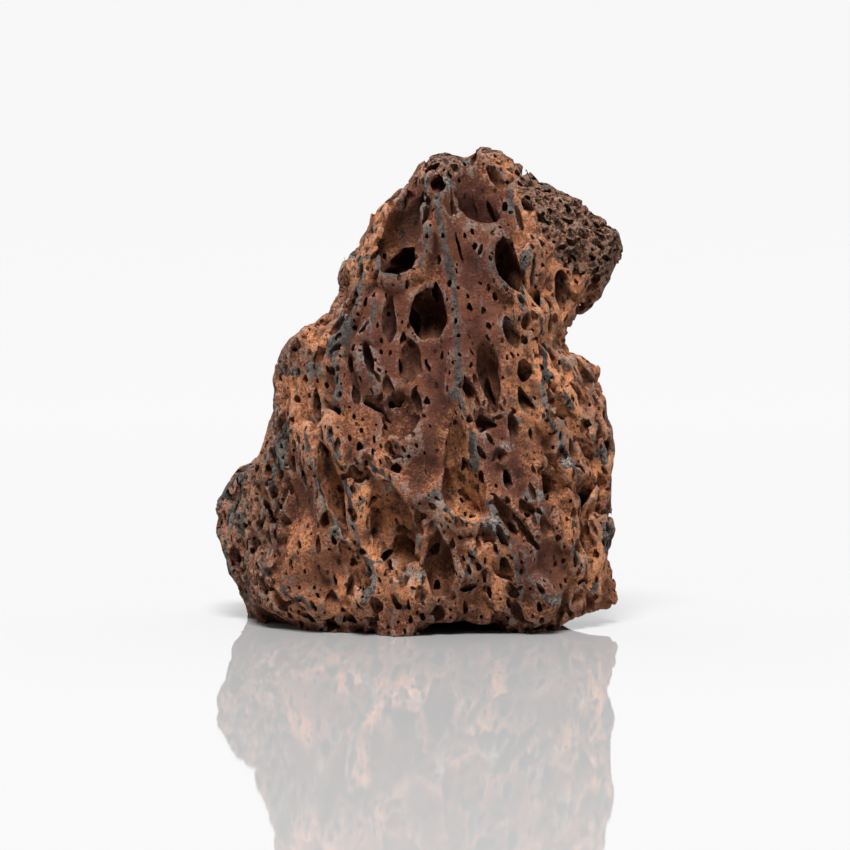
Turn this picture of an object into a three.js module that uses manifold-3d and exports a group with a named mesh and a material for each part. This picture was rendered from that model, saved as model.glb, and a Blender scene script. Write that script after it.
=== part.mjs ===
// A lump of lava rock (scoria): one solid stone, torn across the front so that the stretched gas
// bubbles show as long hollows, with a crusty beak at the upper right and a heel at the lower left.
//
// Millimetres. +Z is up, the torn face looks towards -Y and +X is to its right. The origin is the
// middle of the bounding box's underside, on the surface that the stone stands on.

import * as THREE from 'three';
import { ImprovedNoise } from 'three/addons/math/ImprovedNoise.js';
import { mergeVertices } from 'three/addons/utils/BufferGeometryUtils.js';
import Module from 'manifold-3d';

// ---- driving dimensions ----

const STEPS_AROUND = 64;
const STEPS_UP = 36;
const SQUARENESS = 2.35; // 2 would make each section a set of elliptic arcs, more makes it boxier

// The body, from the foot up. Each level is a horizontal section through its four outermost points:
// left, front, right and back, each as [x, y]. What lies below z = 0 is cut off flat.
const LEVELS = [
  { z: -5, left: [-33, 0], front: [2, -24], right: [36, 2], back: [4, 28] },
  { z: 0, left: [-37, 0], front: [2, -28], right: [40, 2], back: [4, 31] },
  { z: 4, left: [-41.5, 0], front: [2, -31], right: [46.5, 2], back: [4, 33] },
  { z: 8.5, left: [-43, 0], front: [4, -33], right: [49, 1], back: [4, 35] },
  { z: 17.5, left: [-42.5, -1], front: [8, -33], right: [48.5, 1], back: [3, 36] },
  { z: 25, left: [-41.5, -1], front: [10, -33], right: [49, 1], back: [2, 36] },
  { z: 33, left: [-40.5, -2], front: [12, -32], right: [48, 1], back: [0, 36] },
  { z: 37.5, left: [-39.5, -2], front: [12, -31], right: [47, 1], back: [0, 35] },
  { z: 42.5, left: [-38.5, -2], front: [12, -31], right: [48, 1], back: [0, 34] },
  { z: 52, left: [-36, -1], front: [11, -30], right: [46.5, 1], back: [1, 32] },
  { z: 60, left: [-35.5, 0], front: [10, -29], right: [44, 0], back: [2, 30] },
  { z: 64.5, left: [-35, 0], front: [10, -28], right: [43, 0], back: [3, 29] },
  { z: 67.5, left: [-34, 0], front: [9, -28], right: [39, 0], back: [3, 28] },
  { z: 71, left: [-32, 0], front: [9, -27], right: [36, 0], back: [4, 27] },
  { z: 74.5, left: [-25, 0], front: [9, -26], right: [38.5, 1], back: [5, 26] },
  { z: 80, left: [-21, 0], front: [9, -24], right: [43.5, 3], back: [6, 25] },
  { z: 86, left: [-19, 0], front: [8, -22], right: [47, 4], back: [7, 24] },
  { z: 90.5, left: [-18, 1], front: [8, -20], right: [49.5, 5], back: [8, 23] },
  { z: 94.5, left: [-14.5, 1], front: [7, -19], right: [49, 5], back: [9, 22] },
  { z: 100.5, left: [-10.5, 1], front: [6, -17], right: [43, 4], back: [10, 20] },
  { z: 106, left: [-5, 0], front: [6, -14], right: [36, 3], back: [12, 16] },
  { z: 111, left: [-1, -1], front: [6, -11], right: [28.5, 2], back: [13, 12] },
  { z: 115, left: [3, -2], front: [9, -9], right: [23, 0], back: [14, 7] },
  { z: 117, left: [9, -2], front: [13, -6], right: [18, -2], back: [14, 2] },
];

// The heel: a second mass fused to the body, low on the left and behind the torn face.
const HEEL = { at: [-28, 15, 20], radii: [25, 23, 25], turn: 24, steps: [32, 20] };

// Lumps all over the stone, as noise of a wavelength and a height.
const LUMPS = [
  { wave: 26, height: 4 },
  { wave: 11, height: 2.6 },
  { wave: 5.5, height: 1.3 },
];
const NOISE_SEED = [7.3, 2.1, 4.7];

// Flat breaks of the body and of the heel: what lies beyond a plane through a point, facing a
// direction, is pressed back onto the plane.
const BODY_BREAKS = [
  { name: 'crust of the beak', through: [30, 0, 112], facing: [0.5, -0.42, 0.76] },
  { name: 'left flank', through: [-37, 4, 50], facing: [-0.95, 0.2, 0.24] },
  { name: 'front left corner', through: [-34, -17, 28], facing: [-0.74, -0.66, 0.12] },
  { name: 'back left', through: [-20, 28, 45], facing: [-0.5, 0.84, 0.2] },
  { name: 'back of the hips', through: [8, 33, 30], facing: [0.1, 0.97, -0.2] },
  { name: 'back right', through: [34, 24, 38], facing: [0.62, 0.76, 0.16] },
  { name: 'back of the crown', through: [9, 21, 89], facing: [0.12, 0.86, 0.5] },
  { name: 'back of the beak', through: [42, 11, 89], facing: [0.6, 0.8, -0.1] },
  { name: 'back of the brow', through: [-11, 11, 94.5], facing: [-0.66, 0.55, 0.5] },
  { name: 'front right corner', through: [40, -19, 30], facing: [0.72, -0.69, 0.05] },
];
const HEEL_BREAKS = [
  { name: 'top of the heel', through: [-38, 14, 38], facing: [-0.35, 0.1, 0.92] },
  { name: 'front of the heel', through: [-44, -1, 22], facing: [-0.55, -0.83, 0.1] },
  { name: 'end of the heel', through: [-50, 14, 20], facing: [-0.95, 0.15, -0.25] },
  { name: 'back of the heel', through: [-36, 34, 20], facing: [-0.3, 0.94, 0.1] },
];

// Hollows under the foot, so that the stone stands on its pads.
const UNDERCUTS = [
  { name: 'arch', at: [12, -10, -2.5], radii: [11, 42, 5.4] },
  { name: 'raised right foot', at: [48, -4, -5], radii: [14, 46, 8.4] },
  { name: 'raised left foot', at: [-44, -24, -3], radii: [10, 22, 7.5] },
  { name: 'back gap', at: [-14, 36, -3], radii: [16, 20, 6] },
];
const UNDERCUT_STEPS = [20, 12];

// The largest hollows of the torn face. Each is a stretched bubble that opens at (x, z), and whose
// long axis dives into the stone. lean turns its lower end towards +X, in degrees.
const HOLLOWS = [
  { name: 'brow scoop', x: -4.4, z: 97.5, length: 20, width: 10.5, depth: 7, lean: -16 },
  { name: 'crown scoop', x: 14.6, z: 102, length: 25, width: 11, depth: 3.5, lean: 3 },
  { name: 'beak socket', x: 21.4, z: 90.5, length: 13, width: 7, depth: 8, lean: 6 },
  { name: 'cave', x: 2.5, z: 78, length: 13, width: 9.5, depth: 9, lean: -6 },
  { name: 'brow notch', x: -17.5, z: 83.5, length: 9, width: 5, depth: 6, lean: 0 },
  { name: 'long flute', x: 17, z: 63, length: 19, width: 7, depth: 5, lean: 6 },
  { name: 'lower flute', x: -4.4, z: 54, length: 18, width: 10, depth: 5, lean: 10 },
  { name: 'cheek hollow', x: -20, z: 36, length: 25, width: 7, depth: 5, lean: 9 },
  { name: 'lip hollow', x: 11.7, z: 35, length: 19, width: 11.5, depth: 6.5, lean: 6 },
  { name: 'mouth hollow', x: -6.3, z: 27, length: 27, width: 12.5, depth: 7, lean: 15 },
  { name: 'slot', x: 21.9, z: 28.5, length: 18, width: 6, depth: 6, lean: 32 },
  { name: 'ash pocket', x: 33.1, z: 36.5, length: 12, width: 9, depth: 6, lean: 0 },
  { name: 'corner hollow', x: 40.4, z: 22.5, length: 9.5, width: 6, depth: 6, lean: 8 },
  { name: 'foot hollow', x: 4.9, z: 16.5, length: 12, width: 8.5, depth: 6, lean: 4 },
];
const HOLLOW_STEPS = [14, 10];
const HOLLOW_DIVE = 15; // degrees

// ---- helpers ----

const wasm = await Module();
wasm.setup();
const noise = new ImprovedNoise();

// A closed geometry with only its positions, and shared points merged.
function welded(geometry) {
  const bare = geometry.clone();
  bare.deleteAttribute('normal');
  bare.deleteAttribute('uv');
  return mergeVertices(bare, 1e-4);
}

function solid(geometry) {
  const { attributes, index } = welded(geometry);
  return new wasm.Manifold(
    new wasm.Mesh({
      numProp: 3,
      vertProperties: new Float32Array(attributes.position.array),
      triVerts: new Uint32Array(index.array),
    }),
  );
}

function geometryOf(manifold) {
  const { vertProperties, triVerts } = manifold.getMesh();
  return new THREE.BufferGeometry()
    .setAttribute('position', new THREE.BufferAttribute(new Float32Array(vertProperties), 3))
    .setIndex(new THREE.BufferAttribute(new Uint32Array(triVerts), 1));
}

function ellipsoid(radii, steps) {
  return new THREE.SphereGeometry(1, ...steps).scale(...radii);
}

// Pushes a closed surface in and out along its normals by the noise of the lumps.
function roughened(geometry) {
  const rough = welded(geometry);
  rough.computeVertexNormals();
  const { position, normal } = rough.attributes;
  const point = new THREE.Vector3();
  const outward = new THREE.Vector3();
  for (let i = 0; i < position.count; i++) {
    point.fromBufferAttribute(position, i);
    outward.fromBufferAttribute(normal, i);
    let push = 0;
    for (const { wave, height } of LUMPS) {
      const [x, y, z] = point.toArray().map((value, axis) => value / wave + NOISE_SEED[axis]);
      push += height * noise.noise(x, y, z);
    }
    point.addScaledVector(outward, push);
    position.setXYZ(i, point.x, point.y, point.z);
  }
  return rough;
}

// Presses every point of a geometry that lies beyond a break back onto the plane of that break.
function broken(geometry, breaks) {
  const { position } = geometry.attributes;
  const point = new THREE.Vector3();
  for (const { through, facing } of breaks) {
    const outward = new THREE.Vector3(...facing).normalize();
    const plane = new THREE.Plane().setFromNormalAndCoplanarPoint(outward, new THREE.Vector3(...through));
    for (let i = 0; i < position.count; i++) {
      point.fromBufferAttribute(position, i);
      const beyond = Math.max(0, plane.distanceToPoint(point));
      point.addScaledVector(outward, -beyond);
      position.setXYZ(i, point.x, point.y, point.z);
    }
  }
  return geometry;
}

// ---- the masses ----

// A level at any height, each of its points a straight blend of the levels below and above.
function levelAt(z) {
  const above = Math.max(1, LEVELS.findIndex((level) => level.z >= z));
  const [low, high] = [LEVELS[above - 1], LEVELS[above]];
  const share = (z - low.z) / (high.z - low.z);
  const blend = (name) => low[name].map((value, axis) => THREE.MathUtils.lerp(value, high[name][axis], share));
  return ['right', 'back', 'left', 'front'].map(blend);
}

// The section's outline at a height, for a turn from 0 to 1 counter-clockwise from its right point.
// Each quarter is an arc of a superellipse about the corner that its two outermost points share.
function bodyPoint(z, turn) {
  const outermost = levelAt(z);
  const quarter = Math.floor(turn * 4) % 4;
  const from = outermost[quarter];
  const to = outermost[(quarter + 1) % 4];
  const corner = quarter % 2 === 0 ? [to[0], from[1]] : [from[0], to[1]];
  const angle = (turn * 4 - quarter) * (Math.PI / 2);
  const towardsFrom = Math.max(0, Math.cos(angle)) ** (2 / SQUARENESS);
  const towardsTo = Math.max(0, Math.sin(angle)) ** (2 / SQUARENESS);
  const [x, y] = corner.map(
    (value, axis) => value + (from[axis] - value) * towardsFrom + (to[axis] - value) * towardsTo,
  );
  return [x, y, z];
}

// A sphere's grid of points laid onto the sections: turn and height come from its uv, and its two
// poles close the foot and the crown.
function bodyGeometry() {
  const geometry = new THREE.SphereGeometry(1, STEPS_AROUND, STEPS_UP);
  const { position, uv } = geometry.attributes;
  const [bottom, top] = [LEVELS[0].z, LEVELS.at(-1).z];
  for (let i = 0; i < position.count; i++) {
    const row = Math.round(uv.getY(i) * STEPS_UP);
    const z = THREE.MathUtils.lerp(bottom, top, THREE.MathUtils.clamp((row - 1) / (STEPS_UP - 2), 0, 1));
    const turn = (Math.round(uv.getX(i) * STEPS_AROUND) % STEPS_AROUND) / STEPS_AROUND;
    const isPole = row === 0 || row === STEPS_UP;
    const [right, back, left, front] = levelAt(z);
    const middle = [(right[0] + left[0]) / 2, (back[1] + front[1]) / 2, z];
    position.setXYZ(i, ...(isPole ? middle : bodyPoint(z, turn)));
  }
  return geometry;
}

function heelGeometry() {
  const { at, radii, turn, steps } = HEEL;
  return ellipsoid(radii, steps).rotateY(THREE.MathUtils.degToRad(turn)).translate(...at);
}

// ---- what is missing from the masses ----

// Everything below the surface that the stone stands on.
function belowGeometry() {
  const side = 300;
  return new THREE.BoxGeometry(side, side, side).translate(0, 0, -side / 2);
}

// A hollow's bubble, with its middle on the face of the stone at (x, z).
function hollowGeometry(face, { x, z, length, width, depth, lean }) {
  const ray = new THREE.Raycaster(new THREE.Vector3(x, -200, z), new THREE.Vector3(0, 1, 0));
  const [{ point }] = ray.intersectObject(face);
  return ellipsoid([width / 2, length / 2, depth], HOLLOW_STEPS)
    .rotateX(Math.PI / 2 + THREE.MathUtils.degToRad(HOLLOW_DIVE))
    .rotateY(THREE.MathUtils.degToRad(-lean))
    .translate(x, point.y, z);
}

// ---- the stone ----

function lavaRock() {
  const body = roughened(broken(bodyGeometry(), BODY_BREAKS));
  const heel = roughened(broken(heelGeometry(), HEEL_BREAKS));
  let stone = solid(body).add(solid(heel));
  const face = new THREE.Mesh(geometryOf(stone), new THREE.MeshBasicMaterial({ side: THREE.DoubleSide }));
  for (const hollow of HOLLOWS) {
    stone = stone.subtract(solid(hollowGeometry(face, hollow)));
  }
  for (const { at, radii } of UNDERCUTS) {
    stone = stone.subtract(solid(ellipsoid(radii, UNDERCUT_STEPS).translate(...at)));
  }
  stone = stone.subtract(solid(belowGeometry()));

  const geometry = geometryOf(stone);
  geometry.computeBoundingBox();
  const { min, max } = geometry.boundingBox;
  geometry.translate(-(min.x + max.x) / 2, -(min.y + max.y) / 2, -min.z);
  geometry.computeVertexNormals();

  const scoria = new THREE.MeshStandardMaterial({ color: 0x63422f, roughness: 0.92, metalness: 0 });
  const mesh = new THREE.Mesh(geometry, scoria);
  mesh.name = 'lava_rock';
  return mesh;
}

const part = new THREE.Group();
part.add(lavaRock());

export default part;
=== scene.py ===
"""A lump of lava rock: red-brown scoria, torn across the front and full of stretched gas bubbles.

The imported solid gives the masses. It is turned into a field of distances to its surface, and the
flutes, hollows, ribs, bubbles and crust are worked into that field, as a carver would, from the large
forms to the small ones. The field then becomes one closed mesh that stands for the solid.

Sculpting is in millimetres, in the frame's own axes: +Z up, and the torn face looks towards -Y.
"""

import math

import bmesh
import bpy
import numpy as np
import openvdb
from bpy.props import FloatProperty, FloatVectorProperty, IntProperty, PointerProperty
from mathutils import Matrix, Vector


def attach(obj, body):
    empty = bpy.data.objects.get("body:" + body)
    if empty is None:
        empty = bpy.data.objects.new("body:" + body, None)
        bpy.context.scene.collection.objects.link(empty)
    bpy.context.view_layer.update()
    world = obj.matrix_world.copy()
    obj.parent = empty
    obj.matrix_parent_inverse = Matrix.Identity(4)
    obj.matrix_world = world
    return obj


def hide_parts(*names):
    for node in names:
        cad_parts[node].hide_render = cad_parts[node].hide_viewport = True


bl_info = {
    "name": "Lava Rock",
    "version": (1, 0, 0),
    "blender": (4, 5, 0),
    "location": "3D View > Sidebar > Lava Rock",
    "description": "Sculpts a lump of scoria around its packed solid and sets it on a studio floor",
    "category": "Add Mesh",
}

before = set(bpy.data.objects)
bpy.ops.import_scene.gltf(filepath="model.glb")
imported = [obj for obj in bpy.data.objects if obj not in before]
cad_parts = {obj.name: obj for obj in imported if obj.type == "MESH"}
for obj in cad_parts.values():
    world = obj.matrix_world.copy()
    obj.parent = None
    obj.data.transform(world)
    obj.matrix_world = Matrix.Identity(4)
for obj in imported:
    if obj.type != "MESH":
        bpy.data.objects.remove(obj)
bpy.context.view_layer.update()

MM = 0.001
NODE = "lava_rock"

SEED = 7
# What the blocks of noise are for, in the order of their seeds.
NOISES = [
    "lumps", "tatters", "grain", "knobs", "fine froth borders", "froth borders", "mineral borders",
    "fine mineral borders", "scattered grey", "ochre clouds", "streaks", "uneven foot", "fine cells",
    "tall cells", "grey seams",
]


def linear(hex_colour):
    """The linear red, green and blue of a colour written as six hex digits."""
    shares = [int(hex_colour[i:i + 2], 16) / 255 for i in (0, 2, 4)]
    return tuple(c / 12.92 if c <= 0.04045 else ((c + 0.055) / 1.055) ** 2.4 for c in shares)


# ---- where the stone is looked at from, in mm ----

LENS = 180.0
SENSOR = 36.0
LOOK_DOWN = math.radians(4.0)
DISTANCE = 1062.5
AIM = np.array([1.9, 0.0, 49.2])
AIM_SHOWS = (1.9, 52.75)  # across and up of the aim, counted as on the face below

# ---- the forms of the torn face ----
#
# Places on the face are (across, up) in millimetres as they show from the viewpoint: across from the
# middle of the stone, and up from the front edge of its foot.

# Hollows, from the crown down: across, up, length, width, depth, lean. Each is a stretched bubble
# that is open to the front. lean turns its lower end towards +X, in degrees.
CROWN_HOLLOWS = [
    (3.2, 116.8, 3.5, 2.5, 2.5, 0),
    (5.0, 113.6, 5.0, 3.8, 3.0, 0),
    (-0.5, 113.5, 4.0, 2.0, 2.0, -30),
    (-4.5, 108.0, 4.5, 2.2, 1.6, -10),
    (2.2, 106.0, 8.0, 1.6, 1.8, -8),
    (-0.9, 104.0, 7.0, 0.9, 1.2, -18),
    (-7.0, 104.0, 5.0, 2.5, 2.2, -5),
    (-9.5, 102.0, 2.4, 1.4, 2.5, -10),
    (3.5, 103.0, 1.3, 0.9, 1.2, 0),
    (-2.6, 103.5, 14.0, 8.0, 2.0, -20),
    (-4.2, 97.8, 19.0, 10.2, 3.4, -16),
    (-4.0, 93.4, 7.4, 10.2, 6.6, -10),
    (9.4, 109.0, 9.0, 1.2, 1.6, 2),
    (10.5, 97.5, 7.0, 1.0, 2.0, 14),
    (18.8, 106.0, 6.5, 1.7, 2.6, 18),
    (16.8, 118.0, 1.6, 1.0, 1.2, 0),
    (15.3, 113.0, 1.0, 0.8, 0.8, 0),
    (20.6, 115.0, 6.5, 3.2, 3.0, 22),
    (19.6, 111.4, 2.0, 1.8, 1.5, 10),
    (21.5, 111.0, 1.5, 1.0, 1.2, 0),
    (23.5, 106.0, 1.8, 1.2, 1.5, 10),
    (25.6, 105.5, 7.0, 1.9, 2.2, 12),
    (28.2, 108.0, 4.5, 2.6, 2.4, 25),
    (26.8, 101.0, 1.1, 0.9, 1.2, 0),
    (25.3, 99.2, 1.2, 1.0, 1.4, 0),
    (27.2, 99.3, 1.0, 0.8, 1.0, 0),
    (26.3, 97.3, 0.9, 0.8, 1.0, 0),
]
BEAK_HOLLOWS = [
    (22.2, 91.4, 13.2, 7.4, 5.4, 4),
    (23.2, 89.6, 6.5, 3.8, 6.5, 8),
    (29.8, 90.0, 6.0, 2.3, 3.5, -4),
    (27.3, 88.0, 5.5, 1.6, 2.2, 8),
    (20.3, 85.2, 2.8, 1.3, 2.2, 20),
    (15.8, 88.3, 1.6, 1.0, 1.4, 10),
    (22.8, 83.5, 4.5, 3.6, 1.5, 15),
    (32.0, 83.0, 5.2, 3.0, 3.4, 12),
    (34.6, 82.5, 4.8, 1.9, 2.2, 12),
    (38.0, 83.2, 8.0, 6.0, 5.0, 10),
    (36.6, 89.4, 4.4, 4.6, 4.6, 20),
    (33.8, 89.7, 1.6, 1.6, 1.0, 0),
    (32.0, 88.5, 5.0, 3.6, 1.4, 5),
    (41.2, 88.7, 2.6, 3.0, 2.5, 20),
    (43.6, 86.6, 2.6, 2.6, 2.4, 30),
    (34.2, 96.8, 1.3, 1.1, 1.2, 20),
    (35.2, 92.0, 1.3, 1.1, 1.2, 20),
    (38.8, 91.7, 2.2, 3.0, 2.0, 30),
    (28.1, 79.3, 4.8, 3.2, 4.6, 5),
    (25.8, 79.6, 2.2, 1.1, 2.0, 0),
    (34.5, 77.2, 5.2, 2.6, 3.0, 8),
    (24.8, 75.5, 7.4, 4.0, 3.4, 10),
]
BROW_HOLLOWS = [
    (3.2, 79.3, 11.6, 10.0, 5.6, 4),
    (0.6, 77.6, 6.0, 4.8, 5.0, 25),
    (5.2, 85.3, 5.5, 2.6, 5.0, 15),
    (-2.2, 83.0, 3.0, 1.3, 1.0, 0),
    (-7.6, 79.3, 11.0, 3.6, 2.9, 0),
    (-6.3, 88.0, 2.4, 0.8, 1.1, 35),
    (-6.8, 71.0, 4.5, 0.9, 1.4, 8),
    (-12.2, 69.5, 7.0, 2.8, 2.8, 15),
    (-3.7, 74.3, 4.0, 2.0, 2.2, 0),
    (-1.5, 72.7, 3.4, 2.4, 2.0, 15),
    (-2.0, 68.9, 11.5, 5.2, 3.0, 5),
    (-4.3, 67.0, 5.0, 0.9, 2.4, 5),
    (-3.2, 63.8, 2.6, 1.8, 2.0, 0),
    (2.1, 67.6, 3.6, 1.4, 2.4, 22),
    (3.7, 69.0, 1.6, 0.8, 1.0, 0),
    (-0.4, 61.8, 1.1, 1.1, 1.1, 0),
    (0.9, 61.8, 1.1, 1.1, 1.1, 0),
    (-0.6, 58.2, 6.4, 3.6, 2.8, 12),
    (1.3, 54.9, 1.9, 1.5, 1.6, 0),
    (-7.4, 62.6, 6.4, 3.2, 2.2, 8),
    (-5.6, 59.5, 2.0, 0.9, 1.4, 0),
    (-17.0, 86.2, 9.5, 4.4, 6.5, -10),
    (-22.3, 78.0, 6.0, 2.6, 3.0, -18),
]
SHOULDER_HOLLOWS = [
    (-20.2, 57.0, 3.6, 1.6, 3.0, -5),
    (-23.7, 57.5, 2.0, 1.0, 1.6, 0),
    (-17.3, 60.7, 1.6, 0.8, 1.3, 0),
    (-15.8, 56.4, 1.2, 2.2, 1.2, 0),
    (-14.3, 53.8, 1.4, 0.9, 1.6, 0),
    (-17.7, 53.8, 1.4, 0.9, 1.2, 0),
    (-15.0, 53.5, 7.5, 6.0, 1.8, 6),
    (-5.3, 54.0, 10.5, 5.8, 2.4, 8),
    (-2.2, 53.0, 2.0, 0.7, 1.2, 0),
    (-26.6, 56.5, 8.6, 3.2, 3.4, 6),
    (-25.9, 53.6, 3.5, 2.2, 3.4, 6),
    (-32.6, 61.4, 4.4, 2.2, 2.6, 8),
    (-29.0, 64.0, 2.8, 1.9, 1.8, 0),
    (-33.0, 55.0, 2.4, 1.0, 1.5, -5),
    (-31.8, 53.6, 4.2, 1.4, 2.0, -5),
    (-21.6, 66.3, 3.0, 2.8, 1.6, 0),
    (-22.6, 62.5, 6.5, 4.6, 1.8, 5),
    (-20.3, 62.7, 1.2, 0.8, 1.2, 0),
    (-17.3, 70.0, 3.0, 3.0, 1.0, 0),
]
WAIST_HOLLOWS = [
    (9.8, 79.2, 2.0, 1.3, 1.8, 0),
    (12.8, 82.4, 2.6, 1.5, 1.9, 12),
    (16.5, 81.6, 2.4, 1.7, 1.5, 12),
    (19.3, 79.8, 0.9, 0.9, 1.0, 0),
    (12.7, 77.8, 0.9, 0.9, 1.0, 0),
    (17.8, 77.0, 2.6, 1.9, 1.8, 5),
    (18.0, 62.5, 17.0, 5.2, 2.4, 4),
    (18.8, 59.5, 8.0, 2.6, 3.4, 4),
    (13.6, 61.2, 6.2, 3.3, 3.8, 25),
    (17.0, 67.3, 1.3, 1.1, 1.2, 0),
    (35.2, 68.6, 6.2, 4.6, 3.6, 10),
    (25.2, 69.2, 2.6, 1.1, 2.0, 28),
    (29.0, 66.3, 2.7, 1.3, 2.0, 15),
    (37.8, 64.2, 4.6, 3.3, 2.2, 10),
    (33.2, 62.7, 2.6, 1.0, 2.0, 15),
    (29.3, 61.4, 1.0, 1.8, 1.2, 0),
    (23.4, 60.6, 3.2, 0.8, 1.2, 22),
    (25.2, 60.1, 1.8, 0.7, 1.2, 15),
    (27.6, 58.3, 5.4, 3.7, 3.6, 15),
    (33.8, 57.8, 6.4, 3.1, 2.6, 12),
    (42.2, 59.8, 6.0, 4.6, 3.6, 28),
    (44.3, 59.3, 3.5, 1.8, 2.5, 25),
    (17.5, 52.8, 4.6, 5.0, 3.2, 20),
    (20.8, 54.4, 2.0, 3.6, 1.8, 10),
    (24.6, 52.0, 5.4, 3.3, 3.0, 12),
    (29.4, 49.8, 3.3, 1.6, 2.8, 12),
    (30.2, 52.3, 1.2, 0.9, 1.0, 0),
    (38.2, 52.4, 2.2, 1.0, 1.6, 10),
    (45.6, 51.5, 4.2, 2.6, 2.6, 20),
    (27.5, 46.7, 5.2, 6.0, 1.6, 15),
    (25.5, 44.7, 1.0, 1.0, 1.2, 0),
    (28.0, 44.8, 1.0, 1.5, 1.2, 0),
    (28.0, 43.2, 0.9, 1.5, 1.0, 0),
    (21.2, 45.3, 4.2, 4.8, 2.2, 0),
    (21.3, 43.3, 2.2, 1.1, 2.0, 0),
    (32.0, 45.0, 2.5, 0.8, 1.3, -10),
    (40.0, 46.6, 2.0, 0.9, 1.2, 40),
    (43.3, 45.8, 1.6, 2.2, 1.0, 0),
    (41.8, 44.3, 1.2, 1.6, 1.0, 0),
    (43.9, 42.0, 2.0, 1.9, 1.6, 15),
]
HIP_HOLLOWS = [
    (16.0, 39.4, 4.4, 1.7, 2.2, 5),
    (23.4, 38.4, 4.6, 2.7, 4.0, 15),
    (21.2, 41.3, 5.0, 4.0, 1.8, 25),
    (9.6, 46.0, 13.0, 6.0, 2.6, 3),
    (12.0, 42.0, 3.6, 2.2, 2.6, 5),
    (9.6, 34.0, 10.5, 8.6, 3.4, 18),
    (12.4, 31.2, 4.6, 4.4, 3.0, 20),
    (15.3, 28.8, 2.2, 1.2, 2.0, 0),
    (22.8, 29.3, 10.0, 4.0, 2.8, 30),
    (25.2, 25.6, 3.0, 2.0, 3.4, 30),
    (28.3, 38.7, 1.0, 1.7, 1.2, 0),
    (32.8, 36.5, 8.0, 7.6, 4.4, 12),
    (33.0, 34.2, 2.6, 4.6, 3.4, 10),
    (38.0, 33.2, 7.6, 5.2, 2.2, 8),
    (32.8, 23.8, 1.2, 1.8, 1.6, 0),
    (43.2, 33.5, 7.2, 2.6, 3.0, 14),
    (46.8, 31.5, 3.0, 1.5, 1.8, 14),
    (42.0, 24.4, 8.2, 5.2, 4.2, 25),
    (43.2, 22.6, 6.0, 4.6, 2.4, 12),
    (40.3, 16.3, 2.7, 2.1, 2.6, 15),
    (42.4, 15.9, 2.2, 2.1, 2.2, 15),
    (36.0, 17.0, 2.0, 1.5, 1.6, 10),
    (33.5, 18.7, 1.9, 0.9, 1.4, 5),
    (38.0, 13.2, 1.8, 2.0, 1.4, 0),
    (41.0, 8.6, 3.2, 4.6, 2.2, 20),
    (47.0, 10.5, 2.0, 1.6, 1.4, 0),
    (46.5, 17.3, 2.0, 1.2, 1.4, 10),
]
FOOT_HOLLOWS = [
    (22.3, 16.3, 5.6, 2.7, 3.6, 8),
    (17.0, 25.3, 3.2, 4.4, 2.0, 0),
    (21.4, 24.7, 6.0, 2.3, 2.0, 22),
    (5.5, 16.0, 13.0, 8.4, 3.2, 2),
    (3.4, 19.3, 4.5, 3.0, 3.6, -20),
    (16.8, 14.5, 3.6, 2.6, 1.6, 5),
    (17.5, 10.0, 3.2, 3.0, 2.0, 10),
    (3.5, 12.7, 1.8, 1.0, 1.3, 10),
    (6.7, 13.4, 1.2, 1.0, 1.2, 0),
    (7.7, 26.5, 1.7, 1.1, 1.6, 0),
    (8.3, 28.6, 1.3, 1.1, 1.3, 0),
    (4.5, 23.7, 1.4, 1.4, 1.1, 0),
    (5.0, 34.5, 1.2, 2.0, 1.4, -30),
    (-4.0, 7.5, 6.0, 3.0, 1.4, 8),
    (-1.0, 11.6, 1.4, 2.0, 1.2, 0),
    (-2.5, 44.0, 2.0, 1.6, 2.4, -10),
    (-11.3, 45.0, 3.0, 1.2, 1.8, 5),
    (-7.2, 46.6, 3.2, 2.5, 2.0, 15),
    (2.2, 40.4, 2.0, 1.5, 1.4, 10),
    (5.6, 45.3, 2.2, 2.0, 1.4, 0),
]
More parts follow.
